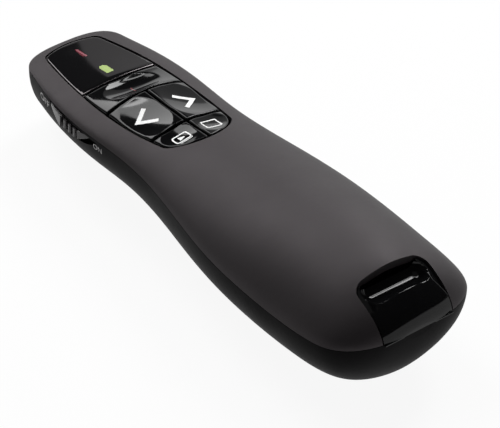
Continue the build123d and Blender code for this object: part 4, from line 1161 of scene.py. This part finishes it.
def slider_outline():
    """Lens that stays inside the recess at both ends of the travel, cut to the slider's length."""
    y0, y1 = from_nose(SWITCH_END), from_nose(SWITCH_START)
    arc, top = lens(KNOB_CLEAR + KNOB_MARGIN, y0, y1)
    shifted = arc + (SWITCH_TRAVEL, 0)
    y = np.linspace(shifted[0, 0] + KNOB_TIP, arc[-1, 0] - KNOB_TIP, ARC_STEPS)
    y = y[np.abs(y - slider_middle()) < KNOB_LENGTH / 2 - KNOB_TRIM]
    low = np.maximum(np.interp(y, arc[:, 0], arc[:, 1]), np.interp(y, shifted[:, 0], shifted[:, 1]))
    return np.vstack([np.c_[y, low], [(y[-1], top), (y[0], top)]])


def slider_face(y, z):
    """Outward reach of the slider: ramps at both ends and a sunk bed between the ribs."""
    half, middle = KNOB_LENGTH / 2, slider_middle()
    bed = (RIB_PITCH * sizes().rib_count + RIB_PITCH - RIB_THICK) / 2
    off = np.abs(y - middle + RIB_SHIFT)
    front = (middle + half - y) / (half - bed + RIB_SHIFT)
    back = (y - middle + half) / (half - bed - RIB_SHIFT)
    rise = RAMP_LOW + (1 - RAMP_LOW) * np.clip(np.minimum(front, back), 0, 1) ** RAMP_POWER
    sunk = np.clip((bed - off) / BED_STEP, 0, 1)
    return KNOB_FOOT + KNOB_PROUD * (rise * (1 - sunk) + BED_LEVEL * sunk)


def node_tree(name, inputs, nodes, values, links):
    """Geometry Nodes tree from named inputs, nodes, modes or socket values, and links between sockets."""
    tree = bpy.data.node_groups.new(name, "GeometryNodeTree")
    tree.interface.new_socket("Geometry", in_out="OUTPUT", socket_type="NodeSocketGeometry")
    for socket, kind in {**inputs, "Material": "Material"}.items():
        tree.interface.new_socket(socket, in_out="INPUT", socket_type=f"NodeSocket{kind}")
    ends = {"source": "NodeGroupInput", "finish": "GeometryNodeSetMaterial", "sink": "NodeGroupOutput"}
    made = {key: tree.nodes.new(kind) for key, kind in {**nodes, **ends}.items()}
    for key, value in values.items():
        node, socket = key.split(".")
        if socket == "mode":
            made[node].mode = value
        else:
            made[node].inputs[socket].default_value = value
    closing = ("real.Geometry > finish.Geometry", "source.Material > finish.Material")
    for link in (*links, *closing, "finish.Geometry > sink.Geometry"):
        (start, out), (stop, into) = (end.split(".") for end in link.split(" > "))
        tree.links.new(made[start].outputs[out], made[stop].inputs[into])
    return tree


def rib_tree():
    """A row of rounded upright bars."""
    return node_tree(
        "Rib row",
        {"Count": "Int", **dict.fromkeys(("Pitch", "Thick", "Deep", "Tall", "Corner"), "Float")},
        {
            "section": "GeometryNodeCurvePrimitiveQuadrilateral", "corners": "GeometryNodeFilletCurve",
            "height": "ShaderNodeCombineXYZ", "offset": "ShaderNodeCombineXYZ",
            "upright": "GeometryNodeCurvePrimitiveLine", "bar": "GeometryNodeCurveToMesh",
            "row": "GeometryNodeMeshLine", "copies": "GeometryNodeInstanceOnPoints",
            "real": "GeometryNodeRealizeInstances",
        },
        {"corners.mode": "POLY", "corners.Count": 5, "bar.Fill Caps": True},
        (
            "source.Thick > section.Width", "source.Deep > section.Height", "section.Curve > corners.Curve",
            "source.Corner > corners.Radius", "source.Tall > height.Z", "height.Vector > upright.End",
            "upright.Curve > bar.Curve", "corners.Curve > bar.Profile Curve", "source.Pitch > offset.X",
            "source.Count > row.Count", "offset.Vector > row.Offset", "row.Mesh > copies.Points",
            "bar.Mesh > copies.Instance", "copies.Instances > real.Geometry",
        ),
    )


def grown(name, tree, values, matrix):
    """Plain mesh object from a Geometry Nodes tree and its named inputs, placed by a matrix."""
    holder = linked(name, bpy.data.meshes.new(name))
    modifier = holder.modifiers.new("nodes", "NODES")
    modifier.node_group = tree
    for item in tree.interface.items_tree:
        if item.in_out == "INPUT":
            modifier[item.identifier] = values[item.name]
    mesh = evaluated(holder)
    mesh.transform(matrix)
    mesh.update()
    return linked(name, cleaned(mesh, GROWN_ANGLE))


class CLICKER_OT_slider(bpy.types.Operator):
    """Power slider with end ramps and a row of ribs, in the left wall"""

    bl_idname = "clicker.slider"
    bl_label = "Power slider"

    def execute(self, context):
        inner = -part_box("power_switch_knob")[1].x / MM
        foot, outline = even(KNOB_FOOT), slider_outline()
        body = plate("slider_body", outline, slider_face, foot, KNOB_EDGE, KNOB_SPACING, wall_side)
        places = rib_places(sizes().rib_count)
        top = girth(slider_middle() - RIB_SHIFT) - SWITCH_TOP - KNOB_CLEAR - RIB_DROP
        deep, tall = KNOB_PROUD * RIB_DEEP, SWITCH_TALL - 2 * KNOB_CLEAR - RIB_SHORT
        values = {
            "Count": len(places), "Pitch": RIB_PITCH * MM, "Thick": RIB_THICK * MM, "Deep": deep * MM,
            "Tall": tall * MM, "Corner": RIB_CORNER * MM, "Material": finish_named("slider_plastic"),
        }
        # The row runs along Y with its depth along X.
        turn = Matrix.Rotation(pi / 2, 4, "Z")
        foot = Vector((-KNOB_FOOT - deep / 2, places[0], top - tall)) * MM
        ribs = grown("slider_ribs", rib_tree(), values, Matrix.Translation(foot) @ turn)
        knob = joined("power_slider_knob", [body, ribs, self.stem(inner)])
        settled(knob, "slider_plastic", "power_slider", ["power_switch_knob"])
        return {"FINISHED"}

    def stem(self, inner):
        """Tongue that reaches through the slot to the switch."""
        low, high = (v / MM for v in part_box("power_switch_lever"))
        y, z = (low.y + high.y) / 2, (low.z + high.z) / 2
        (wide, tall), top = STEM_HALF, even(KNOB_FOOT + STEM_OVERLAP)
        outline = rounded(rectangle(y - wide, y + wide, z - tall, z + tall), STEM_CORNER, 4)
        return plate("slider_stem", outline, top, even(inner), 0, STEM_SPACING, wall_side)


class CLICKER_OT_switch_words(bpy.types.Operator):
    """OFF and ON beside the power slider"""

    bl_idname = "clicker.switch_words"
    bl_label = "Switch words"

    def execute(self, context):
        for word, start, wide, middle in SWITCH_WORDS:
            curve = bpy.data.curves.new(word, "FONT")
            curve.body = word
            curve.resolution_u = 6
            mesh = evaluated(linked(word, curve))
            flat = np.array([tuple(v.co)[:2] for v in mesh.vertices])
            flat -= flat.min(0)
            flat *= wide / flat[:, 0].max()
            faces = [tuple(p.vertices) for p in mesh.polygons]
            y, z = from_nose(start) - flat[:, 0], middle + flat[:, 1] - flat[:, 1].max() / 2
            out, back = (np.c_[-wall_reach(y, z) + depth, y, z] for depth in (-WORD_PROUD, WORD_SUNK))
            edges = dict.fromkeys(edge for face in faces for edge in zip(face, face[1:] + face[:1]))
            border = [(a, b) for a, b in edges if (b, a) not in edges]
            count = len(flat)
            body = faces + [tuple(v + count for v in face[::-1]) for face in faces]
            body += [(a, a + count, b + count, b) for a, b in border]
            made = as_object(f"word_{word.lower()}", np.vstack([out, back]), body)
            settled(made, "faded_ink", "shell")
        return {"FINISHED"}


# ---------------------------------------------------------------- battery springs
# Loss of radius along a spring, and the Y behind which a spring stands on the tail wall
SPRING_TAPER, SPRINGS_PART = 1.0, -20.0


def coil_tree():
    """A wire wound along a cone."""
    return node_tree(
        "Coil",
        dict.fromkeys(("Turns", "Start Radius", "End Radius", "Height", "Wire"), "Float"),
        {
            "spiral": "GeometryNodeCurveSpiral", "circle": "GeometryNodeCurvePrimitiveCircle",
            "wire": "GeometryNodeCurveToMesh", "real": "GeometryNodeRealizeInstances",
        },
        {"spiral.Resolution": 28, "circle.Resolution": 10, "wire.Fill Caps": True},
        (
            "source.Turns > spiral.Rotations", "source.Start Radius > spiral.Start Radius",
            "source.End Radius > spiral.End Radius", "source.Height > spiral.Height",
            "source.Wire > circle.Radius", "spiral.Curve > wire.Curve",
            "circle.Curve > wire.Profile Curve", "wire.Mesh > real.Geometry",
        ),
    )


class CLICKER_OT_springs(bpy.types.Operator):
    """Wound battery springs in place of the stepped rings"""

    bl_idname = "clicker.springs"
    bl_label = "Battery springs"

    def execute(self, context):
        tree = coil_tree()
        for name in ("spring_left", "spring_right"):
            low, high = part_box(name)
            wire = sizes().spring_wire / 2
            middle = (low + high) / 2
            at_tail = middle.y < SPRINGS_PART * MM
            large = (high.x - low.x) / 2 - wire
            values = {
                "Turns": float(sizes().spring_turns), "Start Radius": large,
                "End Radius": large - SPRING_TAPER * MM, "Height": high.y - low.y - 2 * wire, "Wire": wire,
                "Material": finish_named("plated_steel"),
            }
            turn = Matrix.Rotation(radians(-90 if at_tail else 90), 4, "X")
            foot = low.y + wire if at_tail else high.y - wire
            place = Matrix.Translation((middle.x, foot, middle.z)) @ turn
            spring = grown(f"{name}_coil", tree, values, place)
            settled(spring, "plated_steel", "shell", [name])
        return {"FINISHED"}


class CLICKER_OT_carried(bpy.types.Operator):
    """Finishes of the pieces that keep their CAD shape"""

    bl_idname = "clicker.carried"
    bl_label = "Carried-over pieces"

    def execute(self, context):
        for finish, names in CARRIED.items():
            for name in names:
                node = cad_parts[name]
                for slot in node.material_slots:
                    slot.link = "OBJECT"
                    slot.material = finish_named(finish)
        return {"FINISHED"}


# ---------------------------------------------------------------- stage
CAMERA_PLACE = (-284.76, -350.62, 376.12)
CAMERA_AIM = (-1.872, -8.792, 14.0)
CAMERA_ROLL = 2.5305
CAMERA_LENS = 209.45
CAMERA_SENSOR = 36.0
CAMERA_CLIP = (0.01, 20.0)
FLOOR_SIZE, FLOOR_LIFT = 8.0, 0.92
BACKDROP_RADIUS, BACKDROP_TALL, BACKDROP_SIDES = 3.8, 0.9, 64
ROOM_COLOUR = (0.045, 0.045, 0.047)

# Lamps: name, (azimuth from +Y towards +X, elevation), distance and size in m, radiance, roll
LAMPS = (
    ("right_softbox", (67, 43), 1.1, (0.32, 0.50), 15.5, 0.0),
    ("left_softbox", (0, 44), 1.1, (0.50, 0.76), 6.2, 0.0),
    ("edge_strip", (38, 64), 1.2, (0.90, 0.07), 12.0, 0.0),
    ("low_card", (40, 14), 1.3, (1.27, 0.65), 0.42, -36.0),
    ("ceiling", (-60, 82), 1.3, (1.0, 1.0), 0.15, 0.0),
)


def seen_directly(paint):
    """1 for what the camera sees straight, in a mirror or through glass."""
    path = paint.node("ShaderNodeLightPath")
    rays = ("Is Camera Ray", "Is Glossy Ray", "Is Transmission Ray")
    camera, glossy, through = (Signal(paint, path.outputs[ray]) for ray in rays)
    return camera.maths("MAXIMUM", camera, glossy.maths("MAXIMUM", glossy, through))


def paper_finish(share):
    """Pale paper; what is seen of it is lifted towards white by a share and keeps the shadow."""

    def make(paint):
        pale = paint.mix(paint.noise(60.0), (0.86, 0.86, 0.86), (0.88, 0.88, 0.88))
        paint.set(Base_Color=pale, Roughness=0.8, Specular_IOR_Level=0.2)
        glow = paint.node("ShaderNodeEmission", inputs={"Color": (1, 1, 1, 1), "Strength": 1.0})
        blend = paint.node("ShaderNodeMixShader", inputs={0: seen_directly(paint) * share})
        paint.tree.links.new(paint.shader.outputs[0], blend.inputs[1])
        paint.tree.links.new(glow.outputs[0], blend.inputs[2])
        paint.tree.links.new(blend.outputs[0], paint.output.inputs[0])
        return paint.material

    return make


def studio_world():
    """Dim grey room round the lamps."""
    world = bpy.data.worlds.new("studio")
    bpy.context.scene.world = world
    world.use_nodes = True
    room = world.node_tree.nodes["Background"]
    room.inputs["Color"].default_value = (*ROOM_COLOUR, 1)
    room.inputs["Strength"].default_value = 1.0


def softbox(name, toward, distance, size, radiance, roll):
    """Rectangular lamp seen from the object in one direction; its surface has an even radiance."""
    lamp = bpy.data.lights.new(name, "AREA")
    lamp.shape = "RECTANGLE"
    lamp.size, lamp.size_y = size
    lamp.energy = radiance * pi * size[0] * size[1]
    azimuth, elevation = (radians(angle) for angle in toward)
    direction = Vector((sin(azimuth) * cos(elevation), cos(azimuth) * cos(elevation), sin(elevation)))
    aimed(linked(name, lamp), direction * distance, -direction, roll)


def aimed(made, place, looking, roll):
    """Puts a lamp or camera in its place, turned one way and rolled about that line."""
    made.location = place
    made.rotation_mode = "QUATERNION"
    turn = looking.to_track_quat("-Z", "Y").to_matrix() @ Matrix.Rotation(radians(roll), 3, "Z")
    made.rotation_quaternion = turn.to_quaternion()


def paper_sheet(name, points, faces, share):
    """Paper surface of the stage, in m."""
    mesh = bpy.data.meshes.new(name)
    mesh.from_pydata(points, [], faces)
    mesh.materials.append(finish_named(f"{name}_paper", paper_finish(share)))
    return linked(name, mesh)


def backdrop():
    """Low ring of pale paper far round the object."""
    turns = [2 * pi * i / BACKDROP_SIDES for i in range(BACKDROP_SIDES)]
    ring = [(BACKDROP_RADIUS * cos(t), BACKDROP_RADIUS * sin(t)) for t in turns]
    points = [(x, y, z) for z in (0, BACKDROP_TALL) for x, y in ring]
    pairs = [(i, (i + 1) % BACKDROP_SIDES) for i in range(BACKDROP_SIDES)]
    faces = [(i, i + BACKDROP_SIDES, j + BACKDROP_SIDES, j) for i, j in pairs]
    made = paper_sheet("backdrop", points, faces, 1.0)


class CLICKER_OT_stage(bpy.types.Operator):
    """Floor, lamps and camera"""

    bl_idname = "clicker.stage"
    bl_label = "Stage"

    def execute(self, context):
        scene = context.scene
        scene.view_settings.view_transform = "Standard"
        half = FLOOR_SIZE / 2
        corners = [(x, y, 0) for x, y in rectangle(-half, half, -half, half)]
        floor = paper_sheet("floor", corners, [(0, 1, 2, 3)], FLOOR_LIFT)
        backdrop()
        studio_world()
        for lamp in LAMPS:
            softbox(*lamp)
        camera = bpy.data.cameras.new("camera")
        camera.lens, camera.sensor_width = CAMERA_LENS, CAMERA_SENSOR
        camera.clip_start, camera.clip_end = CAMERA_CLIP
        scene.camera = linked("camera", camera)
        place, aim = (Vector(point) * MM for point in (CAMERA_PLACE, CAMERA_AIM))
        aimed(scene.camera, place, aim - place, CAMERA_ROLL)
        return {"FINISHED"}


# ---------------------------------------------------------------- sidebar and registration
class CLICKER_PT_panel(bpy.types.Panel):
    bl_label = "Presentation clicker"
    bl_space_type = "VIEW_3D"
    bl_region_type = "UI"
    bl_category = "Clicker"

    def draw(self, context):
        for operator in OPERATORS:
            self.layout.operator(operator.bl_idname)
        for group in (context.scene.clicker_sizes, context.scene.clicker_colours):
            for name in group.__annotations__:
                self.layout.prop(group, name)


OPERATORS = (
    CLICKER_OT_stage, CLICKER_OT_carried, CLICKER_OT_window, CLICKER_OT_keys, CLICKER_OT_icons,
    CLICKER_OT_slider, CLICKER_OT_switch_words, CLICKER_OT_receiver, CLICKER_OT_springs,
)
CLASSES = (ClickerColours, ClickerSizes, *OPERATORS, CLICKER_PT_panel)


def register():
    for cls in CLASSES:
        bpy.utils.register_class(cls)
    bpy.types.Scene.clicker_colours = PointerProperty(type=ClickerColours)
    bpy.types.Scene.clicker_sizes = PointerProperty(type=ClickerSizes)


def unregister():
    del bpy.types.Scene.clicker_sizes
    del bpy.types.Scene.clicker_colours
    for cls in reversed(CLASSES):
        bpy.utils.unregister_class(cls)


def main():
    register()
    for operator in OPERATORS:
        area, name = operator.bl_idname.split(".")
        getattr(getattr(bpy.ops, area), name)()


if __name__ == "__main__":
    main()
